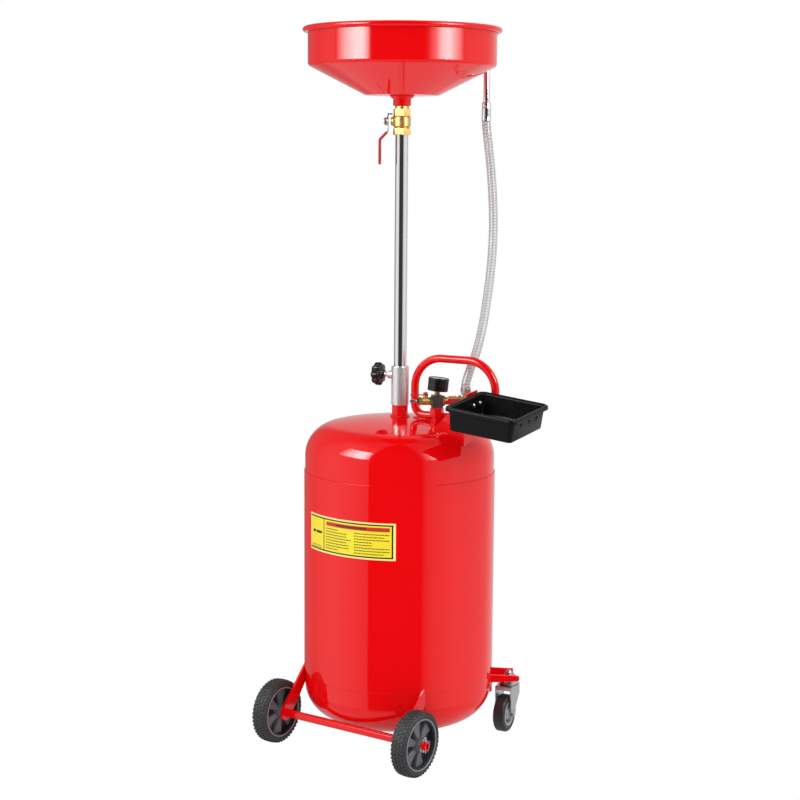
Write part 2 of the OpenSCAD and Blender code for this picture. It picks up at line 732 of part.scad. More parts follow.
// Plate from the tank's side down to a round eye on the axle
module axle_bracket(side) {
    eye = [-axle_y, wheel_r];
    eye_r = 16;
    upper = [-124, 162];
    lower = [-124, 126];
    color([0.80, 0.03, 0.05]) difference() {
        translate([side * bracket_x - plate_t / 2, 0, 0]) rotate([90, 0, 90]) linear_extrude(plate_t) difference() {
            union() {
                translate(eye) circle(r = eye_r);
                polygon([upper, tangent(upper, eye, eye_r, -1), eye, tangent(lower, eye, eye_r, 1), lower]);
            }
            translate(eye) circle(d = axle_d);
        }
        tank_envelope();
    }
}
module left_axle_bracket() axle_bracket(-1);
module right_axle_bracket() axle_bracket(1);

hub_w = 38;
module axle_washers() {
    color([0.75, 0.75, 0.76]) for (side = [-1, 1], x = [wheel_x - hub_w / 2 - 2.2, wheel_x + hub_w / 2 + 0.4])
        translate([side < 0 ? -x - 1.8 : x, -axle_y, wheel_r]) rotate([0, 90, 0]) ring(14, axle_d / 2, 1.8);
}

module cotter_pins() {
    color([0.78, 0.78, 0.80]) for (side = [-1, 1])
        translate([side * (axle_len / 2 - 5), -axle_y, wheel_r]) {
            translate([0, 0, -15]) cylinder(r = 1.6, h = 27);
            translate([0, 0, 14.5]) rotate([0, 90, 0]) rotate_extrude() translate([3, 0]) circle(r = 1.2);
        }
}

rim_web = 6;
module wheel_rim(side) {
    color([0.16, 0.15, 0.17]) at_wheel(side) difference() {
        union() {
            translate([0, 0, -hub_w / 2]) cylinder(r = 15, h = hub_w);
            translate([0, 0, -rim_web / 2]) cylinder(r = 45, h = rim_web);
            translate([0, 0, -15]) ring(rim_r, 45 - 1, 30);
            for (i = [0:5]) rotate([0, 0, 60 * i]) translate([13, -1.5, -13]) cube([32, 3, 26]);
        }
        translate([0, 0, -hub_w]) cylinder(r = axle_d / 2 + run_gap, h = 2 * hub_w);
        for (i = [0:5]) rotate([0, 0, 60 * i + 30]) translate([0, 0, -20]) linear_extrude(40)
            polygon([[19, -6], [42.5, -10], [42.5, 10], [19, 6]]);
    }
}
module left_wheel_rim() wheel_rim(-1);
module right_wheel_rim() wheel_rim(1);

module wheel_tyre(side) {
    h = wheel_w / 2 - tyre_shoulder;
    color([0.10, 0.10, 0.10]) at_wheel(side) rotate_extrude()
        polygon(concat([[rim_r, -wheel_w / 2]],
            arc([wheel_r - tyre_shoulder, -h], tyre_shoulder, -90, 0, 8),
            arc([wheel_r - tyre_shoulder, h], tyre_shoulder, 0, 90, 8), [[rim_r, wheel_w / 2]]));
}
module left_wheel_tyre() wheel_tyre(-1);
module right_wheel_tyre() wheel_tyre(1);

// ---- casters ----
// Folded channel, open upwards, welded to the tank's lower edge
module caster_bracket(side) {
    swivel = norm(caster_pos);
    color([0.80, 0.03, 0.05]) difference() {
        mirror([side < 0 ? 1 : 0, 0, 0]) rotate([0, 0, atan2(caster_pos.y, caster_pos.x)]) {
            difference() {
                union() {
                    translate([170, -channel_w / 2, web_z]) cube([swivel + channel_end - 170, channel_w, web_t]);
                    for (y = [-channel_w / 2 + web_t, channel_w / 2])
                        translate([0, y, web_z]) rotate([90, 0, 0]) linear_extrude(web_t)
                            polygon([[170, 0], [swivel + channel_end, 0], [swivel + channel_end, 11], [170, 19]]);
                    translate([184, -channel_w / 2, web_z - 20]) cube([14.5, channel_w, 21]);
                }
                translate([swivel, 0, web_z - 1]) cylinder(r = kingpin_r, h = web_t + 2);
            }
        }
        tank_envelope();
    }
}
module left_caster_bracket() caster_bracket(-1);
module right_caster_bracket() caster_bracket(1);

module caster_kingpins() {
    color([0.78, 0.78, 0.80]) for (side = [-1, 1]) translate([side * caster_pos.x, caster_pos.y, 0]) {
        translate([0, 0, fork_top - 10]) cylinder(r = kingpin_r, h = web_z + web_t + 3 - fork_top + 10);
        translate([0, 0, fork_top - 12]) cylinder(r = 9, h = 6);
        translate([0, 0, web_z + web_t]) ring(11, kingpin_r, 1.5);
        translate([0, 0, web_z + web_t + 1.5]) hex(17, 5);
        translate([0, 0, web_z + web_t + 6.5]) intersection() {
            sphere(r = 8.2);
            cylinder(r = 9, h = 9);
        }
    }
}

module caster_races() {
    color([0.55, 0.55, 0.57]) for (side = [-1, 1]) translate([side * caster_pos.x, caster_pos.y, 0]) {
        translate([0, 0, web_z - 4]) ring(24, kingpin_r, 4);
        translate([0, 0, fork_top + 0.5]) ring(20, kingpin_r, web_z - 4 - fork_top - 0.5);
    }
}

// Pressed fork: a crown plate under the bearing and two tapering legs
module caster_fork(side) {
    color([0.74, 0.75, 0.76]) caster_frame(side) difference() {
        union() {
            translate([0, 0, fork_top - fork_t]) cylinder(r = 24, h = fork_t);
            translate([-fork_in - fork_t, -caster_trail - 9, fork_top - fork_t]) cube([2 * (fork_in + fork_t), caster_trail + 14, fork_t]);
            for (x = [-fork_in - fork_t, fork_in])
                translate([x, 0, 0]) rotate([90, 0, 90]) linear_extrude(fork_t) {
                    translate([-caster_trail, caster_r]) circle(r = 9);
                    polygon([[-caster_trail - 9, caster_r], [-caster_trail - 9, fork_top], [18, fork_top],
                        [20, fork_top - 22], [-caster_trail + 7.5, caster_r - 5]]);
                }
            translate([-fork_in - fork_t, -caster_trail - 9, fork_top - 8]) cube([2 * (fork_in + fork_t), fork_t, 8]);
        }
        translate([0, 0, fork_top - 20]) cylinder(r = kingpin_r + run_gap, h = 30);
        translate([-30, -caster_trail, caster_r]) rotate([0, 90, 0]) cylinder(r = 4, h = 60);
    }
}
module left_caster_fork() caster_fork(-1);
module right_caster_fork() caster_fork(1);

module caster_axle(side) {
    color([0.78, 0.78, 0.80]) caster_frame(side) translate([0, -caster_trail, caster_r]) rotate([0, 90, 0]) {
        translate([0, 0, -fork_in - fork_t - 4]) cylinder(r = 4, h = 2 * (fork_in + fork_t) + 8);
        translate([0, 0, fork_in + fork_t]) hex(13, 5);
        translate([0, 0, -fork_in - fork_t - 5]) hex(13, 5);
    }
}
module left_caster_axle() caster_axle(-1);
module right_caster_axle() caster_axle(1);

caster_hub_r = 27;
module at_caster_wheel(side) caster_frame(side) translate([0, -caster_trail, caster_r]) rotate([0, 90, 0]) children();

module caster_hub(side) {
    color([0.55, 0.55, 0.57]) at_caster_wheel(side) difference() {
        union() {
            translate([0, 0, -caster_w / 2 + 1]) cylinder(r = caster_hub_r, h = caster_w - 2);
            translate([0, 0, -fork_in + 0.6]) cylinder(r = 8, h = 2 * fork_in - 1.2);
        }
        for (z = [-caster_w / 2 - 1, caster_w / 2 - 5]) translate([0, 0, z]) ring(22, 14, 6);
        translate([0, 0, -20]) cylinder(r = 4 + run_gap, h = 40);
    }
}
module left_caster_hub() caster_hub(-1);
module right_caster_hub() caster_hub(1);

module caster_tyre(side) {
    shoulder = 7;
    h = caster_w / 2 - shoulder;
    color([0.12, 0.12, 0.125]) at_caster_wheel(side) rotate_extrude()
        polygon(concat([[caster_hub_r, -caster_w / 2]],
            arc([caster_r - shoulder, -h], shoulder, -90, 0, 6),
            arc([caster_r - shoulder, h], shoulder, 0, 90, 6), [[caster_hub_r, caster_w / 2]]));
}
module left_caster_tyre() caster_tyre(-1);
module right_caster_tyre() caster_tyre(1);

// ---- label ----
label_h = 76;
label_z = 463;
label_arc = 62.8;
label_dir = -88.4;
module label() {
    color([0.95, 0.80, 0.10]) translate([0, 0, label_z - label_h / 2]) rotate([0, 0, label_dir - label_arc / 2])
        rotate_extrude(angle = label_arc) translate([tank_r, 0]) square([0.4, label_h]);
}

translate([mast_x, mast_y, 0]) {
    tank_shell();
    top_head();
    bottom_head();
    mast_socket();
    mast_sleeve();
    handle();
    tray_bracket();
    tool_tray();
    tray_screws();
    manifold_riser();
    manifold_block();
    dip_tube();
    gauge_stem();
    gauge_case();
    gauge_dial();
    gauge_lens();
    gauge_needle();
    air_valve_body();
    air_valve_lever();
    air_plug();
    discharge_valve_body();
    discharge_valve_lever();
    hose_elbow();
    hose_clamp();
    hose();
    hose_ferrule();
    nozzle_tube();
    mast_tube();
    bowl();
    bowl_spud();
    bowl_strainer();
    drain_valve_body();
    drain_valve_ball();
    drain_lever();
    drain_lever_sleeve();
    drain_lever_nut();
    clamp_knob();
    clamp_stud();
    axle_tube();
    left_axle_bracket();
    right_axle_bracket();
    axle_washers();
    cotter_pins();
    left_wheel_rim();
    left_wheel_tyre();
    right_wheel_rim();
    right_wheel_tyre();
    left_caster_bracket();
    right_caster_bracket();
    caster_kingpins();
    caster_races();
    left_caster_fork();
    right_caster_fork();
    left_caster_axle();
    right_caster_axle();
    left_caster_hub();
    left_caster_tyre();
    right_caster_hub();
    right_caster_tyre();
    label();
}
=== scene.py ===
"""Portable waste-oil drain: the finished look of the wheeled tank and its raised bowl.

Sizes are millimetres round the mast's axis, with Z up and the floor at zero, and are
turned to metres in the model's own frame when a piece is made.
"""

from __future__ import annotations

import json
import logging
import math
import random
from dataclasses import dataclass, field
from enum import Enum
from typing import Iterable, Sequence

import bmesh
import bpy
from mathutils import Matrix, Vector

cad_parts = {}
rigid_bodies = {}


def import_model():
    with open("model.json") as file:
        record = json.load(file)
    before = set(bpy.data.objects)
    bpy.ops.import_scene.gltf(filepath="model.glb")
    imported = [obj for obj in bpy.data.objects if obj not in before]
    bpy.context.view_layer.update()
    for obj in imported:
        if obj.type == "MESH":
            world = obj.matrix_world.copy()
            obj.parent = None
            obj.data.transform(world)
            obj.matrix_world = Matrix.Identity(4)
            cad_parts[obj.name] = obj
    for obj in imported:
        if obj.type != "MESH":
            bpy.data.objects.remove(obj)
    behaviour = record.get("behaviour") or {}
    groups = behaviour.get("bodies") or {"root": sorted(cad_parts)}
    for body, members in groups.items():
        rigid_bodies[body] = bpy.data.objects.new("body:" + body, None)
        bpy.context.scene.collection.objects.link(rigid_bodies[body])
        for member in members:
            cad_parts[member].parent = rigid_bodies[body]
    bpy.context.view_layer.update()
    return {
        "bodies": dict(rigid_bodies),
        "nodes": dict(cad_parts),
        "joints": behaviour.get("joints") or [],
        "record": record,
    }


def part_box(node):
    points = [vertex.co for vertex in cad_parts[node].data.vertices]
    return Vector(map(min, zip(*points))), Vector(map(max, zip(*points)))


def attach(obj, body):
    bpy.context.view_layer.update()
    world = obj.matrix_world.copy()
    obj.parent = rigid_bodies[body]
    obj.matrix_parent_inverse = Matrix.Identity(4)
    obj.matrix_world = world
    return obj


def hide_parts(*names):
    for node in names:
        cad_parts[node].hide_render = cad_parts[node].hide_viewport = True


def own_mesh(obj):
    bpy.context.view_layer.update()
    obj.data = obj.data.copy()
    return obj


LOG = logging.getLogger("oil_drain")
MM = 0.001
HERE = Matrix.Identity(4)
Point = Sequence[float]
Outline = list[tuple[float, float]]

CAMERA_AZIMUTH = 34.8


# ---- small geometry ----
def shift(x: float, y: float, z: float) -> Matrix:
    """A move without a turn."""
    return Matrix.Translation((x, y, z))


def turn(degrees: float, axis: str) -> Matrix:
    """A turn about one of the main axes."""
    return Matrix.Rotation(math.radians(degrees), 4, axis)


def facing(compass: float, z: float = 0.0) -> Matrix:
    """A frame on the mast's axis whose Z points along a compass angle and whose X points down."""
    return shift(0, 0, z) @ turn(compass, "Z") @ turn(90, "Y")


def arc(centre: Point, radius: float, start: float, end: float, steps: int = 8) -> Outline:
    """Points along an arc in a plane, angles in degrees."""
    out = []
    for i in range(steps + 1):
        a = math.radians(start + (end - start) * i / steps)
        out.append((centre[0] + radius * math.cos(a), centre[1] + radius * math.sin(a)))
    return out


def area(outline: Outline) -> float:
    """Signed area of a closed outline, positive when it runs anticlockwise."""
    return 0.5 * sum(a[0] * b[1] - b[0] * a[1] for a, b in zip(outline, outline[1:] + outline[:1]))


def rounded(points: Outline, radius: float | Sequence[float], steps: int = 4, closed: bool = True) -> Outline:
    """Rounds the corners of an outline.

    Args:
        points: the corners.
        radius: one radius, or one for each corner.
        steps: segments in each rounded corner.
        closed: whether the last corner joins the first.

    Returns:
        The outline with an arc in place of each corner that has a radius.
    """
    radii = [radius] * len(points) if isinstance(radius, (int, float)) else list(radius)
    out: Outline = []
    for i, (point, r) in enumerate(zip(points, radii)):
        if r <= 0 or (not closed and i in (0, len(points) - 1)):
            out.append(tuple(point))
            continue
        here = Vector(point)
        back = (Vector(points[i - 1]) - here).normalized()
        ahead = (Vector(points[(i + 1) % len(points)]) - here).normalized()
        half = back.angle(ahead) / 2
        reach = r / max(math.tan(half), 1e-6)
        centre = here + (back + ahead).normalized() * (r / math.sin(half))
        first, last = here + back * reach - centre, here + ahead * reach - centre
        spread = first.angle_signed(last)
        for k in range(steps + 1):
            p = centre + Matrix.Rotation(-spread * k / steps, 2) @ first
            out.append((p.x, p.y))
    return out


def inset(outline: Outline, amount: float) -> Outline:
    """Moves every side of a closed outline inwards by the same amount."""
    sign = 1 if area(outline) > 0 else -1
    out = []
    for i, point in enumerate(outline):
        before = (Vector(point) - Vector(outline[i - 1])).normalized()
        after = (Vector(outline[(i + 1) % len(outline)]) - Vector(point)).normalized()
        mitre = Vector((-before.y - after.y, before.x + after.x)) * sign
        if mitre.length < 1e-6:
            mitre = Vector((-before.y, before.x)) * sign
        mitre.normalize()
        lean = max(0.35, abs(mitre.dot(Vector((-before.y, before.x)))))
        out.append(tuple(Vector(point) + mitre * amount / lean))
    return out


def box_outline(x0: float, x1: float, y0: float, y1: float, radius: float = 0.0, steps: int = 4) -> Outline:
    """A rectangle with rounded corners, anticlockwise."""
    return rounded([(x1, y0), (x1, y1), (x0, y1), (x0, y0)], radius, steps)


def hexagon(across: float) -> Outline:
    """A hexagon by its width across flats."""
    r = across / 2 / math.cos(math.pi / 6)
    return [(r * math.cos(math.radians(60 * i)), r * math.sin(math.radians(60 * i))) for i in range(6)]


def smooth_path(points: Sequence[Point], steps: int = 8) -> list[Vector]:
    """A smooth curve through the points.

    Args:
        points: the points to pass through.
        steps: how many pieces each span is cut into.

    Returns:
        The points of a centripetal curve, ends included.
    """
    p = [Vector(q) for q in points]
    p = [p[0] * 2 - p[1], *p, p[-1] * 2 - p[-2]]
    out = []
    for a, b, c, d in zip(p, p[1:], p[2:], p[3:]):
        t0 = 0.0
        t1 = t0 + (b - a).length ** 0.5
        t2 = t1 + (c - b).length ** 0.5
        t3 = t2 + (d - c).length ** 0.5
        for k in range(steps):
            t = t1 + (t2 - t1) * k / steps
            a1 = a * ((t1 - t) / (t1 - t0)) + b * ((t - t0) / (t1 - t0))
            a2 = b * ((t2 - t) / (t2 - t1)) + c * ((t - t1) / (t2 - t1))
            a3 = c * ((t3 - t) / (t3 - t2)) + d * ((t - t2) / (t3 - t2))
            b1 = a1 * ((t2 - t) / (t2 - t0)) + a2 * ((t - t0) / (t2 - t0))
            b2 = a2 * ((t3 - t) / (t3 - t1)) + a3 * ((t - t1) / (t3 - t1))
            out.append(b1 * ((t2 - t) / (t2 - t1)) + b2 * ((t - t1) / (t2 - t1)))
    return [*out, p[-2]]


def bent_path(corners: Sequence[Point], radius: float, steps: int = 10, closed: bool = False) -> list[Vector]:
    """A path of straight runs joined by bends of one radius."""
    p = [Vector(c) for c in corners]
    out: list[Vector] = []
    for i, here in enumerate(p):
        if not closed and i in (0, len(p) - 1):
            out.append(here)
            continue
        back = (p[i - 1] - here).normalized()
        ahead = (p[(i + 1) % len(p)] - here).normalized()
        half = back.angle(ahead) / 2
        centre = here + (back + ahead).normalized() * (radius / math.sin(half))
        first = here + back * (radius / math.tan(half)) - centre
        last = here + ahead * (radius / math.tan(half)) - centre
        out += [centre + first.normalized().slerp(last.normalized(), k / steps) * radius for k in range(steps + 1)]
    return out


class Shape:
    """Closed surfaces gathered in one mesh, in millimetres round the mast's axis."""

    def __init__(self) -> None:
        """Starts with nothing in it."""
        self.mesh = bmesh.new()

    def loft(self, rings: Sequence[Sequence[Point]], at: Matrix = HERE, wrap: bool = False, finish: int = 0) -> Shape:
        """Joins rings of points into a closed surface.

        Args:
            rings: rings with the same number of points, or a single point for a tip.
            at: where the shape's own frame stands.
            wrap: joins the last ring to the first instead of capping the ends.
            finish: index of the finish on these faces.

        Returns:
            The shape itself, so that calls can follow one another.
        """
        new = self.mesh.faces.new
        rows = [[self.mesh.verts.new(at @ Vector(p)) for p in ring] for ring in rings]
        made = []
        for a, b in zip(rows, rows[1:] + rows[:1] if wrap else rows[1:]):
            n = max(len(a), len(b))
            for i in range(n):
                j = (i + 1) % n
                if len(a) == 1 and len(b) == 1:
                    break
                if len(a) == 1:
                    made.append(new((a[0], b[j], b[i])))
                elif len(b) == 1:
                    made.append(new((a[i], a[j], b[0])))
                else:
                    made.append(new((a[i], a[j], b[j], b[i])))
        if not wrap:
            made += [new(row) for row in (rows[0][::-1], rows[-1]) if len(row) > 2]
        for face in made:
            face.material_index = finish
        return self

    def lathe(self, outline: Outline, steps: int = 64, at: Matrix = HERE, finish: int = 0) -> Shape:
        """Turns a half outline of (radius, height) about Z. An outline that touches the axis at both ends is solid, and any other is a ring."""
        solid = outline[0][0] < 1e-6 and outline[-1][0] < 1e-6
        rings = []
        for r, z in outline:
            if r < 1e-6:
                rings.append([(0, 0, z)])
            else:
                rings.append([(r * math.cos(2 * math.pi * i / steps), r * math.sin(2 * math.pi * i / steps), z) for i in range(steps)])
        return self.loft(rings, at, wrap=not solid, finish=finish)

    def prism(self, outline: Outline, z0: float, z1: float, edge: float = 0.6, at: Matrix = HERE, finish: int = 0) -> Shape:
        """Raises a closed outline from z0 to z1 with softened edges."""
        if area(outline) < 0:
            outline = outline[::-1]
        levels = [(z0, edge), (z0 + 0.3 * edge, 0.3 * edge), (z0 + edge, 0), (z1 - edge, 0), (z1 - 0.3 * edge, 0.3 * edge), (z1, edge)]
        if edge <= 0:
            levels = [(z0, 0), (z1, 0)]
        return self.loft([[(x, y, z) for x, y in (inset(outline, d) if d else outline)] for z, d in levels], at, finish=finish)

    def ring(self, outer: float, inner: float, z0: float, z1: float, edge: float = 0.5, at: Matrix = HERE, steps: int = 64, finish: int = 0) -> Shape:
        """A round tube or washer with softened edges."""
        return self.lathe(rounded([(inner, z0), (outer, z0), (outer, z1), (inner, z1)], edge, 3), steps, at, finish)

    def disc(self, radius: float, z0: float, z1: float, edge: float = 0.5, at: Matrix = HERE, steps: int = 48, finish: int = 0) -> Shape:
        """A round bar with softened edges."""
        return self.lathe([(0, z0), *self._rim(radius, z0, z1, edge), (0, z1)], steps, at, finish)

    @staticmethod
    def _rim(radius: float, z0: float, z1: float, edge: float) -> Outline:
        """The outside of a round bar from its lower to its upper edge."""
        return arc((radius - edge, z0 + edge), edge, -90, 0, 3) + arc((radius - edge, z1 - edge), edge, 0, 90, 3)

    def tube(self, path: Sequence[Point], radius: float, sides: int = 24, at: Matrix = HERE, closed: bool = False,
             finish: int = 0, radii: Sequence[float] | None = None) -> Shape:
        """Sweeps a circle along a path, with rounded ends unless it is closed."""
        p = [Vector(q) for q in path]
        n = len(p)
        tangents = []
        for i in range(n):
            a = p[i - 1] if i or closed else p[i]
            b = p[(i + 1) % n] if i < n - 1 or closed else p[i]
            tangents.append((b - a).normalized())
        normal = tangents[0].orthogonal().normalized()
        rings = []
        for i in range(n):
            normal = (normal - tangents[i] * normal.dot(tangents[i])).normalized()
            side = tangents[i].cross(normal)
            r = radii[i] if radii else radius
            rings.append([p[i] + (normal * math.cos(2 * math.pi * k / sides) + side * math.sin(2 * math.pi * k / sides)) * r for k in range(sides)])
        return self.loft(rings, at, wrap=closed, finish=finish)

    def take(self, mesh: bpy.types.Mesh, at: Matrix = HERE, finish: int = 0) -> Shape:
        """Adds a ready mesh, in millimetres, and removes it from the file."""
        self.mesh.faces.ensure_lookup_table()
        verts, faces = len(self.mesh.verts), len(self.mesh.faces)
        self.mesh.from_mesh(mesh)
        self.mesh.verts.ensure_lookup_table()
        self.mesh.faces.ensure_lookup_table()
        bmesh.ops.transform(self.mesh, matrix=at, verts=self.mesh.verts[verts:])
        for face in self.mesh.faces[faces:]:
            face.material_index = finish
        bpy.data.meshes.remove(mesh)
        return self

    def bulk(self, x: Sequence[float], y: Sequence[float], z: Sequence[float], edge: float = 0.6, at: Matrix = HERE, finish: int = 0) -> Shape:
        """A block between two corners with softened edges."""
        return self.prism(box_outline(x[0], x[1], y[0], y[1], edge, 2), z[0], z[1], edge, at, finish)


# ---- finishes ----
def linear(code: str) -> tuple[float, float, float, float]:
    """Turns an sRGB hex colour into linear values with full alpha."""
    values = [int(code[i : i + 2], 16) / 255 for i in (0, 2, 4)]
    return (*(v / 12.92 if v <= 0.04045 else ((v + 0.055) / 1.055) ** 2.4 for v in values), 1.0)


def add(tree: bpy.types.NodeTree, kind: str, inputs: dict | None = None, **settings: object) -> bpy.types.Node:
    """Adds a node to a tree.

    Args:
        tree: the node tree.
        kind: the node's type name.
        inputs: a value or another node's output socket for each input, by name or index.
        settings: the node's own properties.

    Returns:
        The new node.
    """
    node = tree.nodes.new(kind)
    for name, value in settings.items():
        setattr(node, name, value)
    for key, value in (inputs or {}).items():
        if isinstance(value, bpy.types.NodeSocket):
            tree.links.new(value, node.inputs[key])
        else:
            node.inputs[key].default_value = value
    return node


@dataclass(frozen=True)
class Finish:
    """What a surface is made of, how it was made and the marks that leaves on it."""

    name: str
    slot: str
    colour: str
    second: str = ""
    tone_mm: float = 40.0
    metallic: float = 0.0
    roughness: float = 0.4
    rough_spread: float = 0.05
    rough_mm: float = 25.0
    grain_mm: float = 2.0
    grain_depth_mm: float = 0.01
    stretch: tuple[float, float, float] = (1.0, 1.0, 1.0)
    shader: tuple[tuple[str, float], ...] = ()

    def build(self) -> bpy.types.Material:
        """Makes the material, with its pattern sizes in real millimetres."""
        found = bpy.data.materials.get(self.name)
        if found:
            return found
        material = bpy.data.materials.new(self.name)
        material.use_nodes = True
        tree = material.node_tree
        shader = tree.nodes["Principled BSDF"]
        for name, value in (("Metallic", self.metallic), *self.shader):
            shader.inputs[name].default_value = value
        place = add(tree, "ShaderNodeTexCoord").outputs["Object"]
        stretched = add(tree, "ShaderNodeMapping", {"Vector": place, "Scale": self.stretch}).outputs["Vector"]
        tone = add(tree, "ShaderNodeTexNoise", {"Vector": place, "Scale": 1 / (self.tone_mm * MM), "Detail": 3.0})
        blend = add(tree, "ShaderNodeMix", {0: tone.outputs["Fac"], 6: linear(self.colour), 7: linear(self.second or self.colour)}, data_type="RGBA")
        tree.links.new(blend.outputs[2], shader.inputs["Base Color"])
        smear = add(tree, "ShaderNodeTexNoise", {"Vector": stretched, "Scale": 1 / (self.rough_mm * MM), "Detail": 4.0})
        rough = add(tree, "ShaderNodeMapRange", {"Value": smear.outputs["Fac"], "From Min": 0.3, "From Max": 0.7,
                    "To Min": self.roughness - self.rough_spread, "To Max": self.roughness + self.rough_spread})
        tree.links.new(rough.outputs["Result"], shader.inputs["Roughness"])
        grain = add(tree, "ShaderNodeTexNoise", {"Vector": stretched, "Scale": 1 / (self.grain_mm * MM), "Detail": 2.0})
        bump = add(tree, "ShaderNodeBump", {"Height": grain.outputs["Fac"], "Distance": self.grain_depth_mm * MM, "Strength": 1.0})
        tree.links.new(bump.outputs["Normal"], shader.inputs["Normal"])
        return material


COAT = (("Specular IOR Level", 0.0), ("Coat Weight", 1.0), ("Coat Roughness", 0.03))
# Sprayed gloss enamel over steel: a deep red under a clear glossy skin with faint orange peel
ENAMEL = Finish("gloss_red_enamel", "red_paint", "EE060D", "E9050A", 120, 0, 0.32, 0.02, 60, 4, 0.004, shader=COAT)
# Bright chrome plate on drawn tube: a clean mirror with the slightest haze
CHROME = Finish("chrome_plate", "chrome", "F0F1F3", "E8EAEC", 60, 1, 0.07, 0.02, 30, 3, 0.0002)
# Turned and brushed steel sleeve: fine lines run round it
BRUSHED = Finish("brushed_steel", "brushed_steel", "B2B2B5", "A0A0A4", 30, 1, 0.2, 0.04, 3, 1.1, 0.004, (0.03, 0.03, 1))
# Zinc plated pressings: pale grey, soft sheen with cloudy patches
ZINC = Finish("zinc_plate", "zinc_steel", "D2D3D4", "BFC1C2", 18, 1, 0.3, 0.02, 9, 1.6, 0.0008)
# Pickled steel block: darker and duller than the zinc
BLOCK_STEEL = Finish("pickled_steel", "zinc_steel", "77777C", "66666A", 10, 1, 0.36, 0.06, 6, 1.0, 0.015)
# Forged and turned brass: warm yellow, a cast skin with faint tarnish
BRASS = Finish("forged_brass", "brass", "E2C47E", "CDA95F", 7, 1, 0.34, 0.02, 6, 1.2, 0.0008)
# Injection moulded tray: black polypropylene with a satin spark-eroded skin
TRAY_PLASTIC = Finish("satin_black_polypropylene", "black_plastic", "101011", "0C0C0D", 30, 0, 0.34, 0.05, 20, 0.9, 0.012,
                      shader=(("Specular IOR Level", 0.16),))
# Phenolic knob and gauge case: black, nearly glossy
PHENOLIC = Finish("black_phenolic", "black_plastic", "0C0C0D", "080809", 20, 0, 0.25, 0.05, 8, 1.4, 0.01)
# Moulded wheel centre: dark grey nylon, satin
WHEEL_NYLON = Finish("grey_nylon", "wheel_plastic", "68686E", "5E5E64", 22, 0, 0.42, 0.05, 12, 0.9, 0.012)
# The wheel centre's sunk web and the barrel's inside: the same nylon painted darker as painted shade, standing for the
# shade between the spokes
WHEEL_WEB = Finish("grey_nylon_web", "wheel_plastic", "242427", "1E1E21", 22, 0, 0.55, 0.05, 12, 0.9, 0.012)
# The rim's light edge: lighter nylon as a painted highlight where the flange's rounded edge catches the light
RIM_EDGE = Finish("polished_nylon_edge", "wheel_plastic", "8D8D92", "808085", 22, 0, 0.3, 0.05, 12, 0.9, 0.006)
# Caster hub: mid grey moulded plastic
HUB_PLASTIC = Finish("grey_polyamide", "hub_plastic", "A3A3AB", "94949B", 15, 0, 0.38, 0.05, 10, 1.0, 0.01)
# Tyre rubber: charcoal, dull, a little dusty
TYRE = Finish("moulded_tyre_rubber", "tyre_rubber", "38393B", "2B2C2E", 9, 0, 0.6, 0.08, 7, 1.4, 0.04)
# Caster tyre: smooth dark thermoplastic rubber
CASTER_RUBBER = Finish("smooth_caster_rubber", "caster_rubber", "2A292B", "232224", 12, 0, 0.45, 0.06, 9, 1.5, 0.015)
# Dipped vinyl grips: soft red with a waxy sheen
VINYL = Finish("dipped_red_vinyl", "red_vinyl", "C4161B", "B01015", 12, 0, 0.35, 0.05, 8, 2.2, 0.03,
               shader=(("Coat Weight", 0.3), ("Coat Roughness", 0.25)))
# Clear hose: soft plastic tube that lets most light through
CLEAR_HOSE = Finish("clear_soft_tube", "clear_pvc", "F6F7F7", "EEF0F0", 20, 0, 0.16, 0.03, 12, 3, 0.02,
                    shader=(("Transmission Weight", 0.45), ("IOR", 1.4)))
# The wire in the hose's wall: dull spring steel
HOSE_WIRE = Finish("spring_wire", "zinc_steel", "77797B", "6A6C6E", 10, 1, 0.35, 0.05, 6, 2, 0.01)
# Printed film: varnished yellow with cream edges, black and red inks
FILM_YELLOW = Finish("varnished_yellow_film", "label_film", "FBE92A", "F6E11C", 60, 0, 0.3, 0.03, 25, 5, 0.004)
FILM_CREAM = Finish("varnished_cream_film", "label_film", "FCF0A0", "F8EA94", 60, 0, 0.3, 0.03, 25, 5, 0.004)
INK_BLACK = Finish("black_ink", "label_film", "22240C", "1C1E0A", 30, 0, 0.35, 0.03, 25, 5, 0.004)
INK_OLIVE = Finish("small_print_ink", "label_film", "5E5816", "504A10", 6, 0, 0.35, 0.03, 25, 5, 0.004)
INK_RED = Finish("red_ink", "label_film", "D8281E", "CC221A", 30, 0, 0.33, 0.03, 25, 5, 0.004)
# Gauge dial: white printed plate
DIAL = Finish("white_dial", "dial_face", "EFEFEA", "E6E6E0", 20, 0, 0.45, 0.03, 15, 3, 0.004)
# Gauge pointer and ticks: matt black ink
DIAL_INK = Finish("dial_ink", "needle", "151515", "101010", 10, 0, 0.5, 0.03, 8, 2, 0.004)
# Gauge lens: clear pressed glass
LENS = Finish("clear_lens", "lens", "F8FBFC", "F4F8FA", 30, 0, 0.05, 0.01, 20, 6, 0.002, shader=(("Transmission Weight", 1.0), ("IOR", 1.45)))


# ---- geometry nodes ----
class Pattern(Enum):
    """What repeats, and how it is laid out."""

    ROUND_A_CIRCLE = "stamps round a circle"
    ALONG_A_PATH = "stamps along a path"
    WIRE_HELIX = "wire wound round a path"


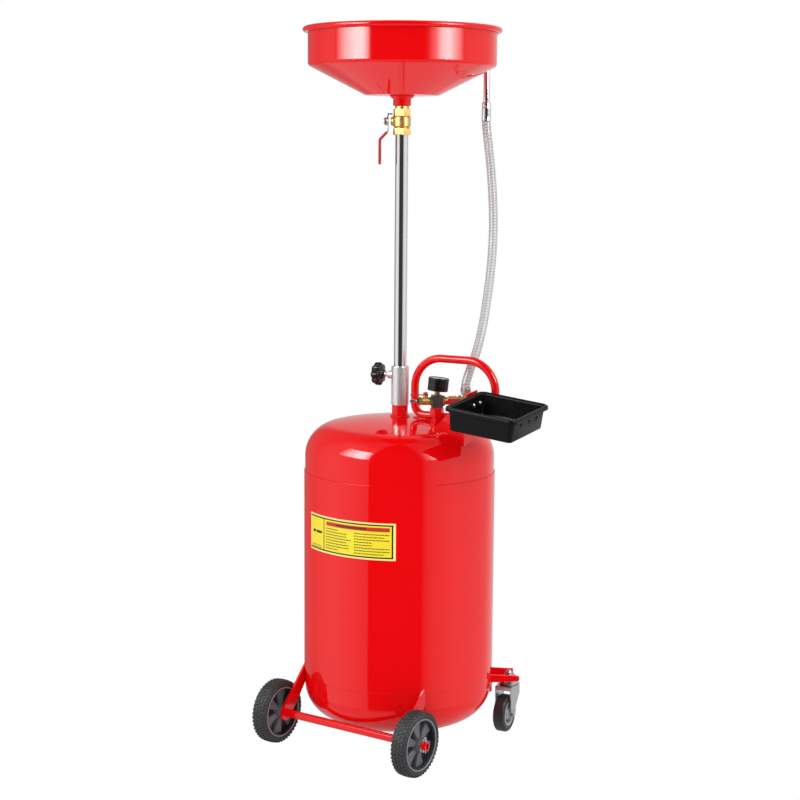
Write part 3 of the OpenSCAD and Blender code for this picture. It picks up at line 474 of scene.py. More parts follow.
class PatternMaker:
    """Builds the three node trees once and turns them into plain meshes."""

    def __init__(self) -> None:
        """Makes the trees."""
        self.trees = {
            Pattern.ROUND_A_CIRCLE: self._circle_tree(),
            Pattern.ALONG_A_PATH: self._path_tree(),
            Pattern.WIRE_HELIX: self._helix_tree(),
        }

    @staticmethod
    def _new_tree(name: str, sockets: Iterable[tuple[str, str, object]]) -> tuple[bpy.types.NodeTree, bpy.types.Node, bpy.types.Node]:
        """A tree with a geometry input and output and the named inputs."""
        tree = bpy.data.node_groups.new(name, "GeometryNodeTree")
        tree.interface.new_socket("Geometry", in_out="INPUT", socket_type="NodeSocketGeometry")
        tree.interface.new_socket("Geometry", in_out="OUTPUT", socket_type="NodeSocketGeometry")
        for label, kind, value in sockets:
            socket = tree.interface.new_socket(label, in_out="INPUT", socket_type=kind)
            if value is not None:
                socket.default_value = value
        return tree, add(tree, "NodeGroupInput"), add(tree, "NodeGroupOutput")

    def _finish_tree(self, tree: bpy.types.NodeTree, source: bpy.types.Node, target: bpy.types.Node,
                     geometry: bpy.types.NodeSocket) -> bpy.types.NodeTree:
        """Ends a tree in real geometry with its material set."""
        real = add(tree, "GeometryNodeRealizeInstances", {"Geometry": geometry}).outputs[0]
        dressed = add(tree, "GeometryNodeSetMaterial", {"Geometry": real, "Material": source.outputs["Material"]}).outputs[0]
        tree.links.new(dressed, target.inputs[0])
        return tree

    def _circle_tree(self) -> bpy.types.NodeTree:
        """Stamps stand round a circle about Z and turn to face outwards."""
        tree, source, target = self._new_tree(Pattern.ROUND_A_CIRCLE.value, [
            ("Count", "NodeSocketInt", 12), ("Radius", "NodeSocketFloat", 10.0), ("Seed", "NodeSocketInt", 1),
            ("Unevenness", "NodeSocketFloat", 0.0), ("Stamp", "NodeSocketObject", None), ("Material", "NodeSocketMaterial", None)])
        circle = add(tree, "GeometryNodeMeshCircle", {"Vertices": source.outputs["Count"], "Radius": source.outputs["Radius"]})
        place = add(tree, "GeometryNodeInputPosition").outputs[0]
        facing_out = add(tree, "FunctionNodeAlignRotationToVector", {"Vector": place}, axis="X", pivot_axis="Z").outputs[0]
        stamp = add(tree, "GeometryNodeObjectInfo", {"Object": source.outputs["Stamp"]}).outputs["Geometry"]
        spread = add(tree, "FunctionNodeRandomValue", {"Seed": source.outputs["Seed"]}, data_type="FLOAT").outputs[1]
        size = add(tree, "ShaderNodeMath", {0: spread, 1: source.outputs["Unevenness"]}, operation="MULTIPLY").outputs[0]
        scale = add(tree, "ShaderNodeMath", {0: 1.0, 1: size}, operation="SUBTRACT").outputs[0]
        stamps = add(tree, "GeometryNodeInstanceOnPoints", {"Points": circle.outputs[0], "Instance": stamp, "Rotation": facing_out, "Scale": scale})
        return self._finish_tree(tree, source, target, stamps.outputs[0])

    def _path_tree(self) -> bpy.types.NodeTree:
        """Stamps follow a path at an even pitch, each a little different in size."""
        tree, source, target = self._new_tree(Pattern.ALONG_A_PATH.value, [
            ("Pitch", "NodeSocketFloat", 2.0), ("Seed", "NodeSocketInt", 1), ("Unevenness", "NodeSocketFloat", 0.2),
            ("Stamp", "NodeSocketObject", None), ("Material", "NodeSocketMaterial", None)])
        curve = add(tree, "GeometryNodeMeshToCurve", {"Mesh": source.outputs[0]}).outputs[0]
        points = add(tree, "GeometryNodeCurveToPoints", {"Curve": curve, "Length": source.outputs["Pitch"]}, mode="LENGTH")
        stamp = add(tree, "GeometryNodeObjectInfo", {"Object": source.outputs["Stamp"]}).outputs["Geometry"]
        spread = add(tree, "FunctionNodeRandomValue", {"Seed": source.outputs["Seed"]}, data_type="FLOAT").outputs[1]
        size = add(tree, "ShaderNodeMath", {0: spread, 1: source.outputs["Unevenness"]}, operation="MULTIPLY").outputs[0]
        scale = add(tree, "ShaderNodeMath", {0: 1.0, 1: size}, operation="SUBTRACT").outputs[0]
        stamps = add(tree, "GeometryNodeInstanceOnPoints", {
            "Points": points.outputs[0], "Instance": stamp, "Rotation": points.outputs["Rotation"], "Scale": scale})
        return self._finish_tree(tree, source, target, stamps.outputs[0])

    def _helix_tree(self) -> bpy.types.NodeTree:
        """A round wire winds round a path at an even pitch."""
        tree, source, target = self._new_tree(Pattern.WIRE_HELIX.value, [
            ("Pitch", "NodeSocketFloat", 6.4), ("Radius", "NodeSocketFloat", 8.0), ("Wire", "NodeSocketFloat", 0.5),
            ("Step", "NodeSocketFloat", 0.4), ("Material", "NodeSocketMaterial", None)])
        curve = add(tree, "GeometryNodeMeshToCurve", {"Mesh": source.outputs[0]}).outputs[0]
        fine = add(tree, "GeometryNodeResampleCurve", {"Curve": curve, "Length": source.outputs["Step"]}, mode="LENGTH")
        along = add(tree, "GeometryNodeSplineParameter").outputs["Length"]
        turns = add(tree, "ShaderNodeMath", {0: along, 1: source.outputs["Pitch"]}, operation="DIVIDE").outputs[0]
        angle = add(tree, "ShaderNodeMath", {0: turns, 1: 2 * math.pi}, operation="MULTIPLY").outputs[0]
        spoke = add(tree, "ShaderNodeVectorRotate", {"Vector": add(tree, "GeometryNodeInputNormal").outputs[0],
                    "Axis": add(tree, "GeometryNodeInputTangent").outputs[0], "Angle": angle}, rotation_type="AXIS_ANGLE").outputs[0]
        offset = add(tree, "ShaderNodeVectorMath", {0: spoke, "Scale": source.outputs["Radius"]}, operation="SCALE").outputs[0]
        wound = add(tree, "GeometryNodeSetPosition", {"Geometry": fine.outputs[0], "Offset": offset}).outputs[0]
        section = add(tree, "GeometryNodeCurvePrimitiveCircle", {"Resolution": 6, "Radius": source.outputs["Wire"]}).outputs[0]
        wire = add(tree, "GeometryNodeCurveToMesh", {"Curve": wound, "Profile Curve": section, "Fill Caps": True}).outputs[0]
        return self._finish_tree(tree, source, target, wire)

    def run(self, pattern: Pattern, finish: Finish, path: Sequence[Point] = (), closed: bool = False,
            stamp: Shape | None = None, **values: float) -> bpy.types.Mesh:
        """Evaluates one pattern.

        Args:
            pattern: which tree.
            finish: the finish set by the tree.
            path: the points that the pattern follows, for a path pattern.
            closed: whether the path closes on itself.
            stamp: the shape that repeats.
            values: the tree's named inputs, with the first letter in lower case.

        Returns:
            A plain mesh in millimetres.
        """
        base = bpy.data.meshes.new("path")
        edges = [(i, i + 1) for i in range(len(path) - 1)] + ([(len(path) - 1, 0)] if closed else [])
        base.from_pydata([tuple(p) for p in path] or [(0, 0, 0)], edges, [])
        carrier = bpy.data.objects.new("carrier", base)
        bpy.context.scene.collection.objects.link(carrier)
        inputs: dict[str, object] = {k.capitalize(): v for k, v in values.items()}
        inputs["Material"] = finish.build()
        helper = None
        if stamp:
            stamp_mesh = bpy.data.meshes.new("stamp")
            bmesh.ops.recalc_face_normals(stamp.mesh, faces=stamp.mesh.faces[:])
            stamp.mesh.to_mesh(stamp_mesh)
            helper = bpy.data.objects.new("stamp", stamp_mesh)
            bpy.context.scene.collection.objects.link(helper)
            inputs["Stamp"] = helper
        modifier = carrier.modifiers.new("pattern", "NODES")
        modifier.node_group = self.trees[pattern]
        for item in modifier.node_group.interface.items_tree:
            if item.in_out == "INPUT" and item.name in inputs:
                modifier[item.identifier] = inputs[item.name]
        bpy.context.view_layer.update()
        evaluated = carrier.evaluated_get(bpy.context.evaluated_depsgraph_get())
        mesh = bpy.data.meshes.new_from_object(evaluated)
        for thing in filter(None, (carrier, helper)):
            data = thing.data
            bpy.data.objects.remove(thing)
            bpy.data.meshes.remove(data)
        return mesh


# ---- workshop ----
class Workshop:
    """Turns shapes into pieces of the model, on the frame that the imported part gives."""

    def __init__(self, frame: dict) -> None:
        """Takes the loaded frame and finds the mast's axis in it."""
        self.frame = frame
        low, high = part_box("mast_tube")
        self.axis = Vector(((low.x + high.x) / 2, (low.y + high.y) / 2, 0))
        self.patterns = PatternMaker()
        self.to_frame = Matrix.Translation(self.axis) @ Matrix.Scale(MM, 4)
        self.count = 0

    def point(self, p: Point) -> Vector:
        """A point of the layout as a place in the model's frame."""
        return self.to_frame @ Vector(p)

    def make(self, name: str, shape: Shape, body: str, finishes: Finish | Sequence[Finish],
             replaces: Sequence[str] = (), sharp: float = 32.0) -> bpy.types.Object:
        """Makes one piece.

        Args:
            name: the piece's name.
            shape: its surfaces in millimetres.
            body: the moving body that it rides on.
            finishes: its finish, or several in the order of the faces' indices.
            replaces: the plain nodes that it stands for.
            sharp: the angle past which an edge stays crisp.

        Returns:
            The new object.
        """
        finishes = [finishes] if isinstance(finishes, Finish) else list(finishes)
        bm = shape.mesh
        bmesh.ops.transform(bm, matrix=self.to_frame, verts=bm.verts[:])
        bmesh.ops.recalc_face_normals(bm, faces=bm.faces[:])
        mesh = bpy.data.meshes.new(name)
        for finish in finishes:
            mesh.materials.append(finish.build())
        bm.to_mesh(mesh)
        bm.free()
        mesh.shade_smooth()
        mesh.set_sharp_from_angle(angle=math.radians(sharp))
        piece = bpy.data.objects.new(name, mesh)
        bpy.context.scene.collection.objects.link(piece)
        self.even_normals(piece)
        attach(piece, body)
        if replaces:
            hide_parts(*replaces)
        self.count += 1
        LOG.info("%s: %d faces on %s", name, len(piece.data.polygons), body)
        return piece

    @staticmethod
    def even_normals(piece: bpy.types.Object) -> None:
        """Lets large faces decide the shading where they meet a narrow rounding."""
        modifier = piece.modifiers.new("even", "WEIGHTED_NORMAL")
        modifier.keep_sharp, modifier.weight = True, 100
        bpy.context.view_layer.update()
        plain = piece.data
        piece.data = bpy.data.meshes.new_from_object(piece.evaluated_get(bpy.context.evaluated_depsgraph_get()))
        piece.modifiers.clear()
        bpy.data.meshes.remove(plain)

    def soften(self, node: str, body: str, finish: Finish, edge: float = 0.6, name: str = "") -> bpy.types.Object:
        """Stands a softened copy in for a plain node.

        Args:
            node: the node to copy.
            body: the body that it rides on.
            finish: its finish.
            edge: how far its edges are rounded, in millimetres.
            name: the piece's name, or the node's with an ending.

        Returns:
            The new object.
        """
        shape = Shape()
        bm = shape.mesh
        bm.from_mesh(self.frame["nodes"][node].data)
        bmesh.ops.remove_doubles(bm, verts=bm.verts[:], dist=2e-6)
        bmesh.ops.dissolve_limit(bm, angle_limit=math.radians(1.0), verts=bm.verts[:], edges=bm.edges[:])
        bmesh.ops.transform(bm, matrix=self.to_frame.inverted(), verts=bm.verts[:])
        crisp = [e for e in bm.edges if len(e.link_faces) == 2 and e.calc_face_angle(0) > math.radians(38)]
        if edge and crisp:
            bmesh.ops.bevel(bm, geom=crisp, offset=edge, segments=2, profile=0.5, affect="EDGES", clamp_overlap=True)
        for face in bm.faces:
            face.material_index = 0
        return self.make(name or f"{node}_finished", shape, body, finish, [node])

    def dress(self, node: str, finish: Finish) -> None:
        """Gives a plain node that keeps its own shape a proper finish."""
        mesh = self.frame["nodes"][node].data
        mesh.materials.clear()
        mesh.materials.append(finish.build())

    def weld(self, path: Sequence[Point], size: float, closed: bool = False, seed: int = 3) -> bpy.types.Mesh:
        """A painted weld bead: overlapping ripples along a path."""
        ripple = Shape().lathe([(0, -0.62 * size), *arc((0, 0), size, -38, 38, 4), (0, 0.62 * size)], 10)
        return self.patterns.run(Pattern.ALONG_A_PATH, ENAMEL, path, closed, ripple, pitch=size * 0.62, seed=seed, unevenness=0.18)


def circle_points(radius: float, z: float, steps: int = 48, at: Matrix = HERE) -> list[Vector]:
    """Points round a level circle."""
    return [at @ Vector((radius * math.cos(2 * math.pi * i / steps), radius * math.sin(2 * math.pi * i / steps), z)) for i in range(steps)]


# ---- tank ----
@dataclass
class Tank:
    """Rolled shell, two dished heads and their seams."""

    shop: Workshop
    radius: float = 200.0
    low: float = 148.0
    high: float = 576.0
    sheet: float = 2.0
    flange: float = 30.0
    knuckle: float = 68.0
    crown: float = 720.0
    steps: int = 224
    head_line: Outline = field(default_factory=list)

    def __post_init__(self) -> None:
        """Works out the outline of a head above its seam."""
        r = self.radius - self.sheet
        x = r - self.knuckle
        reach = self.crown - self.knuckle
        self.rise = self.crown - math.sqrt(reach**2 - x**2)
        tilt = 90 - math.degrees(math.asin(x / reach))
        self.head_line = [(r, -6.0), (r, self.flange * 0.5)] + arc((x, self.flange), self.knuckle, 0, tilt, 22)
        self.head_line += arc((0, self.flange + self.rise - self.crown), self.crown, tilt, 90, 14)[1:]

    @property
    def top(self) -> float:
        """Height of the crown."""
        return self.high + self.flange + self.rise

    def dome(self, r: float) -> float:
        """Height of the top head at a distance from the axis."""
        return self.top - self.crown + math.sqrt(self.crown**2 - r**2)

    def build(self) -> None:
        """Makes the shell and the heads."""
        r = self.radius
        lip = rounded([(r - 2.2, self.low), (r, self.low), (r, self.high), (r - 2.2, self.high)], [0.4, 1.1, 1.1, 0.4], 4)
        middle = [(r, self.low + (self.high - self.low) * k / 12) for k in range(1, 12)]
        split = next(i for i, p in enumerate(lip) if p[1] > (self.low + self.high) / 2)
        self.shop.make("tank_shell_painted", Shape().lathe(lip[:split] + middle + lip[split:], self.steps), "tank", ENAMEL, ["tank_shell"])
        inner = [(max(0.0, x - self.sheet * min(1.0, x / 20)), z - self.sheet) for x, z in self.head_line]
        inner[0], inner[1] = (r - 2 * self.sheet, -6.0), (r - 2 * self.sheet, self.flange * 0.5)
        closed = self.head_line[:-1] + [(0.0, self.head_line[-1][1])]
        shell = [(0.0, inner[-1][1])] + inner[:-1][::-1] + closed
        for name, place in (("top_head", shift(0, 0, self.high)), ("bottom_head", shift(0, 0, self.low) @ Matrix.Scale(-1, 4, (0, 0, 1)))):
            self.shop.make(f"{name}_painted", Shape().lathe(shell, self.steps, place), "tank", ENAMEL, [name], sharp=60)


@dataclass
class Label:
    """Printed film round the shell: borders, a header bar and rows of plain bars for print."""

    shop: Workshop
    radius: float = 200.0
    compass: float = -88.4
    arc_deg: float = 62.8
    z0: float = 425.0
    height: float = 76.0

    def patch(self, shape: Shape, u0: float, u1: float, v0: float, v1: float, lift: float, finish: int) -> None:
        """Adds a curved patch, from u0 to u1 along the arc and v0 to v1 up the label."""
        steps = max(1, round((u1 - u0) * 48))
        start = self.compass - self.arc_deg / 2
        rings = []
        for i in range(steps + 1):
            a = math.radians(start + self.arc_deg * (u0 + (u1 - u0) * i / steps))
            z = (self.z0 + self.height * v0, self.z0 + self.height * v1)
            low, high = self.radius + 0.05, self.radius + lift
            rings.append([(r * math.cos(a), r * math.sin(a), h) for r, h in ((low, z[0]), (high, z[0]), (high, z[1]), (low, z[1]))])
        shape.loft(rings, finish=finish)

    def bars(self, shape: Shape, u0: float, u1: float, top: float, rows: int, step: float, thick: float, finish: int, seed: int) -> None:
        """Rows of short bars that stand for small print."""
        chance = random.Random(seed)
        for row in range(rows):
            v = top - row * step
            end = u1 - chance.choice((0, 0, 0.02, 0.05, 0.16)) * (u1 - u0) * 3
            u = u0
            while u < end:
                word = min(end, u + chance.uniform(0.012, 0.034))
                self.patch(shape, u, word, v - thick / 2, v + thick / 2, 0.34, finish)
                u = word + 0.005

    def build(self) -> None:
        """Makes the film with its inks."""
        shape = Shape()
        self.patch(shape, 0, 1, 0, 1, 0.22, 0)
        self.patch(shape, 0.012, 0.974, 0.075, 0.925, 0.27, 1)
        for v in (0.065, 0.935):
            self.patch(shape, 0.008, 0.978, v - 0.018, v + 0.018, 0.32, 2)
        self.patch(shape, 0.962, 0.976, 0.07, 0.93, 0.32, 2)
        self.patch(shape, 0.232, 0.243, 0.07, 0.93, 0.32, 2)
        self.patch(shape, 0.272, 0.945, 0.765, 0.875, 0.31, 3)
        self.bars(shape, 0.40, 0.78, 0.82, 1, 1, 0.045, 2, 11)
        for u0, u1 in ((0.055, 0.105), (0.118, 0.205)):
            self.patch(shape, u0, u1, 0.50, 0.57, 0.33, 2)
        self.bars(shape, 0.265, 0.565, 0.69, 8, 0.076, 0.026, 4, 5)
        self.bars(shape, 0.60, 0.945, 0.68, 8, 0.076, 0.026, 4, 8)
        self.bars(shape, 0.03, 0.2, 0.16, 2, 0.05, 0.018, 4, 4)
        self.shop.make("label_film_printed", shape, "tank", [FILM_CREAM, FILM_YELLOW, INK_BLACK, INK_RED, INK_OLIVE], ["label"])


# ---- mast ----
@dataclass
class Mast:
    """Welded socket, brushed sleeve, clamp knob and the sliding chromed tube."""

    shop: Workshop
    tank: Tank
    knob_compass: float = 190.0
    knob_z: float = 774.0
    knob_in: float = 36.0

    def socket(self) -> None:
        """The painted pipe on the crown, with its weld."""
        r, crown = 16.7, self.tank.top
        shape = Shape().ring(r, 13.65, 621, 712, 0.5)
        shape.take(self.shop.weld(circle_points(r + 1.2, crown + 1.2), 2.6, True))
        shape.lathe(rounded([(r - 1, crown - 1.5), (r + 4.4, crown - 1.5), (r - 0.2, crown + 3.6)], [0.2, 0.8, 0.5], 3), 64)
        self.shop.make("mast_socket_painted", shape, "tank", ENAMEL, ["mast_socket"])

    def sleeve(self) -> None:
        """The brushed sleeve and the boss of the clamp screw."""
        shape = Shape().ring(18.3, 13.65, 712, 793, 0.7, steps=96)
        shape.ring(8.5, 5.05, 15.5, 26.3, 0.5, facing(self.knob_compass, self.knob_z), 40)
        self.shop.make("mast_sleeve_brushed", shape, "tank", BRUSHED, ["mast_sleeve"])

    def tube(self) -> None:
        """The chromed tube and its flared foot inside the tank."""
        outline = rounded([(11.35, 600), (15.75, 600), (15.75, 620), (13.35, 622), (13.35, 1281), (11.35, 1281)], [0.3, 1, 1, 0, 0.5, 0.3], 3)
        self.shop.make("mast_tube_chromed", Shape().lathe(outline, 96), "mast", CHROME, ["mast_tube"])

    def knob(self) -> None:
        """The lobed knob and its plated stud."""
        lobes, steps = 8, 144
        levels = [(0, 8.2, 0), (1.2, 9.2, 0), (4.5, 11.2, 0.1), (6.2, 19.5, 0.75), (7.8, 20.9, 0.95), (10, 21.4, 1),
                  (19, 21.2, 1), (21.6, 19.9, 0.95), (23.2, 17.4, 0.8), (24, 13, 0.2), (24, 8.5, 0), (23.2, 7.4, 0)]
        rings = [[(0, 0, 0)]]
        for z, r, depth in levels:
            ring = []
            for i in range(steps):
                a = 2 * math.pi * i / steps
                bulge = (abs(math.cos(a * lobes / 2)) ** 1.3) * 4.6 - 1.8
                rr = r + bulge * depth
                ring.append((rr * math.cos(a), rr * math.sin(a), z))
            rings.append(ring)
        rings.append([(0, 0, 23.0)])
        at = facing(self.knob_compass, self.knob_z) @ shift(0, 0, self.knob_in)
        self.shop.make("clamp_knob_moulded", Shape().loft(rings, at), "clamp_screw", PHENOLIC, ["clamp_knob"], sharp=50)
        stud = Shape().lathe([(0, 13.9), *self._thread(5, 15, 36.5, 1.25), (4.6, 47), (0, 47)], 32, facing(self.knob_compass, self.knob_z))
        self.shop.make("clamp_stud_plated", stud, "clamp_screw", CHROME, ["clamp_stud"])

    @staticmethod
    def _thread(radius: float, start: float, end: float, pitch: float) -> Outline:
        """The outline of a threaded length, drawn as even grooves."""
        out: Outline = [(radius - 0.8, start - 0.9)]
        z = start
        while z < end:
            out += [(radius, z), (radius, z + pitch * 0.3), (radius - 0.5, z + pitch * 0.7)]
            z += pitch
        return out

    def build(self) -> None:
        """Makes the mast's pieces."""
        self.socket()
        self.sleeve()
        self.tube()
        self.knob()


# ---- bowl and drain valve ----
@dataclass
class Bowl:
    """Spun catch bowl with a rolled rim, its spud and strainer."""

    shop: Workshop
    base: float = 1348.0
    flat: float = 75.0
    cone: float = 59.0
    wall: float = 192.0
    height: float = 130.0
    sheet: float = 1.5
    roll: float = 5.5
    bend: float = 8.0
    seam: float = -81.2  # compass angle of the faint mark on the cone
    steps: int = 208

    def line(self, inset_by: float) -> Outline:
        """Half outline of one side of the sheet, from the drain to the wall's top."""
        slope = math.degrees(math.atan2(self.cone, self.wall - self.flat))
        half = math.radians(slope / 2)
        low = (self.flat - self.bend * math.tan(half), self.base + self.bend)
        high = (self.wall - self.bend, self.base + self.cone + self.bend * math.tan(math.radians(45) - half))
        wall_top = self.base + self.height
        return ([(14, self.base + inset_by), (40, self.base + inset_by)] + arc(low, self.bend - inset_by, -90, slope - 90, 5)
                + arc(high, self.bend - inset_by, slope - 90, 0, 10) + [(self.wall - inset_by, self.base + 90), (self.wall - inset_by, wall_top - 5)])

    def build(self) -> None:
        """Makes the bowl, its seam mark, the spud and the strainer."""
        top, centre = self.base + self.height, self.wall + self.roll - 0.5
        curl_in = arc((centre, top), self.roll - 1.3, 190, -145, 20)
        curl_out = arc((centre, top), self.roll, -145, 180, 22)
        profile = self.line(0) + [(self.wall, top - 1.5)] + curl_in + curl_out + self.line(self.sheet)[::-1]
        shape = Shape().lathe(profile, self.steps)
        pitch = self.cone / (self.wall - self.flat)
        run = [facing(self.seam) @ Vector((0, 0, r)) + Vector((0, 0, self.base + (r - self.flat) * pitch - 0.1)) for r in range(80, 118, 2)]
        shape.tube(run, 0.9, 8, radii=[0.3 + 0.7 * math.sin(math.pi * i / (len(run) - 1)) for i in range(len(run))])
        self.shop.make("bowl_painted", shape, "bowl_head", ENAMEL, ["bowl"], sharp=40)
        spud = Shape().lathe(rounded([(13.2, 1327), (18.35, 1327), (18.35, 1340.8), (23, 1343.6), (23, 1347.9), (13.2, 1347.9)],
                                    [0.4, 1.2, 1.5, 1.2, 0.3, 0.3], 4), 72)
        spud.take(self.shop.weld(circle_points(23, 1346.9), 2.0, True, 9))
        self.shop.make("bowl_spud_painted", spud, "bowl_head", ENAMEL, ["bowl_spud"])
        self.shop.dress("bowl_strainer", ZINC)


@dataclass
class DrainValve:
    """Brass ball valve under the bowl with its strap lever."""

    shop: Workshop
    z: float = 1296.0
    low: float = 1268.6
    high: float = 1321.0
    compass: float = 215.0

    def body(self) -> None:
        """Forged body, its two hexagon ends and the stem boss."""
        shape = Shape()
        shape.prism(hexagon(33), self.low, self.low + 13, 1.0, turn(15, "Z"))
        shape.prism(hexagon(32), self.high - 15, self.high, 1.0, turn(15, "Z"))
        belly = rounded([(15, self.z - 13.5), (18, self.z - 10), (18, self.z + 8), (15, self.z + 11)], 1.5, 3, False)
        shape.lathe([(0, self.low + 10), (15, self.low + 10), *belly, (0, self.z + 12)], 72)
        for z in (self.z - 6.5, self.z + 5):
            shape.ring(18.35, 17, z, z + 1.5, 0.4, steps=72)
        shape.lathe([(0, self.high - 1), (14.2, self.high - 1), (14.2, self.high + 5.5), (13.2, self.high + 6.3), (0, self.high + 6.3)], 56)
        boss = facing(self.compass, self.z)
        shape.lathe([(0, 10), (11.5, 10), *arc((11.5, 21), 3.5, -90, -180, 4), *self.boss_end(8, 17.5, 23, 0.8), (0, 23)], 40, boss)
        self.shop.make("drain_valve_body_brass", shape, "bowl_head", BRASS, ["drain_valve_body"])

    @staticmethod
    def boss_end(radius: float, z0: float, z1: float, edge: float) -> Outline:
        """The outside of a round boss with a softened end."""
        return [(radius, z0), *arc((radius - edge, z1 - edge), edge, 0, 90, 3)]

    def lever(self) -> None:
        """Plated strap with its vinyl grip and nut."""
        at = facing(self.compass, self.z)
        face, step, out, end, thick, wide = 27.0, 20.0, 17.0, 84.0, 3.0, 15.0
        near, far = face + thick / 2, face + out + thick / 2 - 0.6
        line = bent_path([(-2, 0, near), (step, 0, near), (step + out, 0, far), (end, 0, far)], 7, 5)
        strap = self.ribbon(line, wide, thick, at)
        strap.ring(11, 5.1, face, face + thick, 0.6, at, 40)
        strap.bulk((-15, -3), (3, 11), (face, face + thick), 0.5, at)
        strap.bulk((-16, -13), (3, 11), (face - 8, face + thick), 0.6, at)
        self.shop.make("drain_lever_plated", strap, "drain_valve_handle", ZINC, ["drain_lever", "drain_valve_ball"])
        start = next(i for i, p in enumerate(line) if p.x > step + 2)
        grip = self.ribbon([Vector((p.x, p.y, p.z)) for p in line[start:]] + [Vector((end + 3.5, 0, line[-1].z))], wide + 3, thick + 3, at, 1.4)
        self.shop.make("drain_lever_grip", grip, "drain_valve_handle", VINYL, ["drain_lever_sleeve"], sharp=45)
        nut = Shape().prism(hexagon(13), face + thick + 1.2, face + thick + 6.2, 0.7, at)
        nut.ring(9, 4.6, face + thick, face + thick + 1.2, 0.3, at, 40)
        nut.disc(4.4, face, face + thick + 7.6, 0.8, at, 32)
        self.shop.make("drain_lever_nut_plated", nut, "drain_valve_handle", ZINC, ["drain_lever_nut"])

    @staticmethod
    def ribbon(line: Sequence[Vector], wide: float, thick: float, at: Matrix, soft: float = 0.6) -> Shape:
        """A flat bar with rounded edges that bends along a line in the XZ plane."""
        section = box_outline(-wide / 2, wide / 2, -thick / 2, thick / 2, min(soft, thick / 2 - 0.05), 3)
        rings = []
        for i, p in enumerate(line):
            along = (line[min(i + 1, len(line) - 1)] - line[max(i - 1, 0)]).normalized()
            up = Vector((-along.z, 0, along.x))
            tight = 1.0 if 0 < i < len(line) - 1 else 0.86
            rings.append([p + Vector((0, a * tight, 0)) + up * b * tight for a, b in section])
        return Shape().loft(rings, at)

    def build(self) -> None:
        """Makes the valve and its lever."""
        self.body()
        self.lever()


# ---- handle, tray and bracket ----
@dataclass
class Handle:
    """Bent tube handle welded to the dome on two saddles."""

    shop: Workshop
    tank: Tank
    x0: float = 32.0
    x1: float = 219.0
    y: float = 6.7
    yaw: float = 5.0
    top: float = 814.0
    tube_r: float = 8.25
    high_bend: float = 62.0
    low_bend: float = 22.0

    def build(self) -> None:
        """Makes the loop, its saddles and their welds."""
        low = round(10 * (self.tank.dome(self.x0) + self.tube_r - 0.6)) / 10
        x0, x1, y, middle = self.x0, self.x1, self.y, low + 50
        upper = bent_path([(x0, y, middle), (x0, y, self.top), (x1, y, self.top), (x1, y, middle)], self.high_bend, 16)
        lower = bent_path([(x1, y, middle), (x1, y, low), (x0, y, low), (x0, y, middle)], self.low_bend, 10)
        at = turn(self.yaw, "Z")
        shape = Shape().tube(upper + lower[1:-1], self.tube_r, 32, at, closed=True)
        for x in (74, 142):
            foot = self.tank.dome(x) - 1
            shape.bulk((x - 9, x + 9), (self.y - 2.5, self.y + 2.5), (foot, low - 2), 0.5, at)
            for side in (-1, 1):
                line = [at @ Vector((x - 9 + 3 * k, self.y + side * 3, self.tank.dome(x - 9 + 3 * k) + 0.6)) for k in range(7)]
                shape.take(self.shop.weld(line, 1.9, seed=x))
        for side, seed in ((-1, 21), (1, 22)):
            touch = [at @ Vector((x, self.y + side * 3.2, self.tank.dome(x) + 1)) for x in range(32, 62, 4)]
            shape.take(self.shop.weld(touch, 2.0, seed=seed))
        self.shop.make("handle_painted", shape, "tank", ENAMEL, ["handle"], sharp=50)


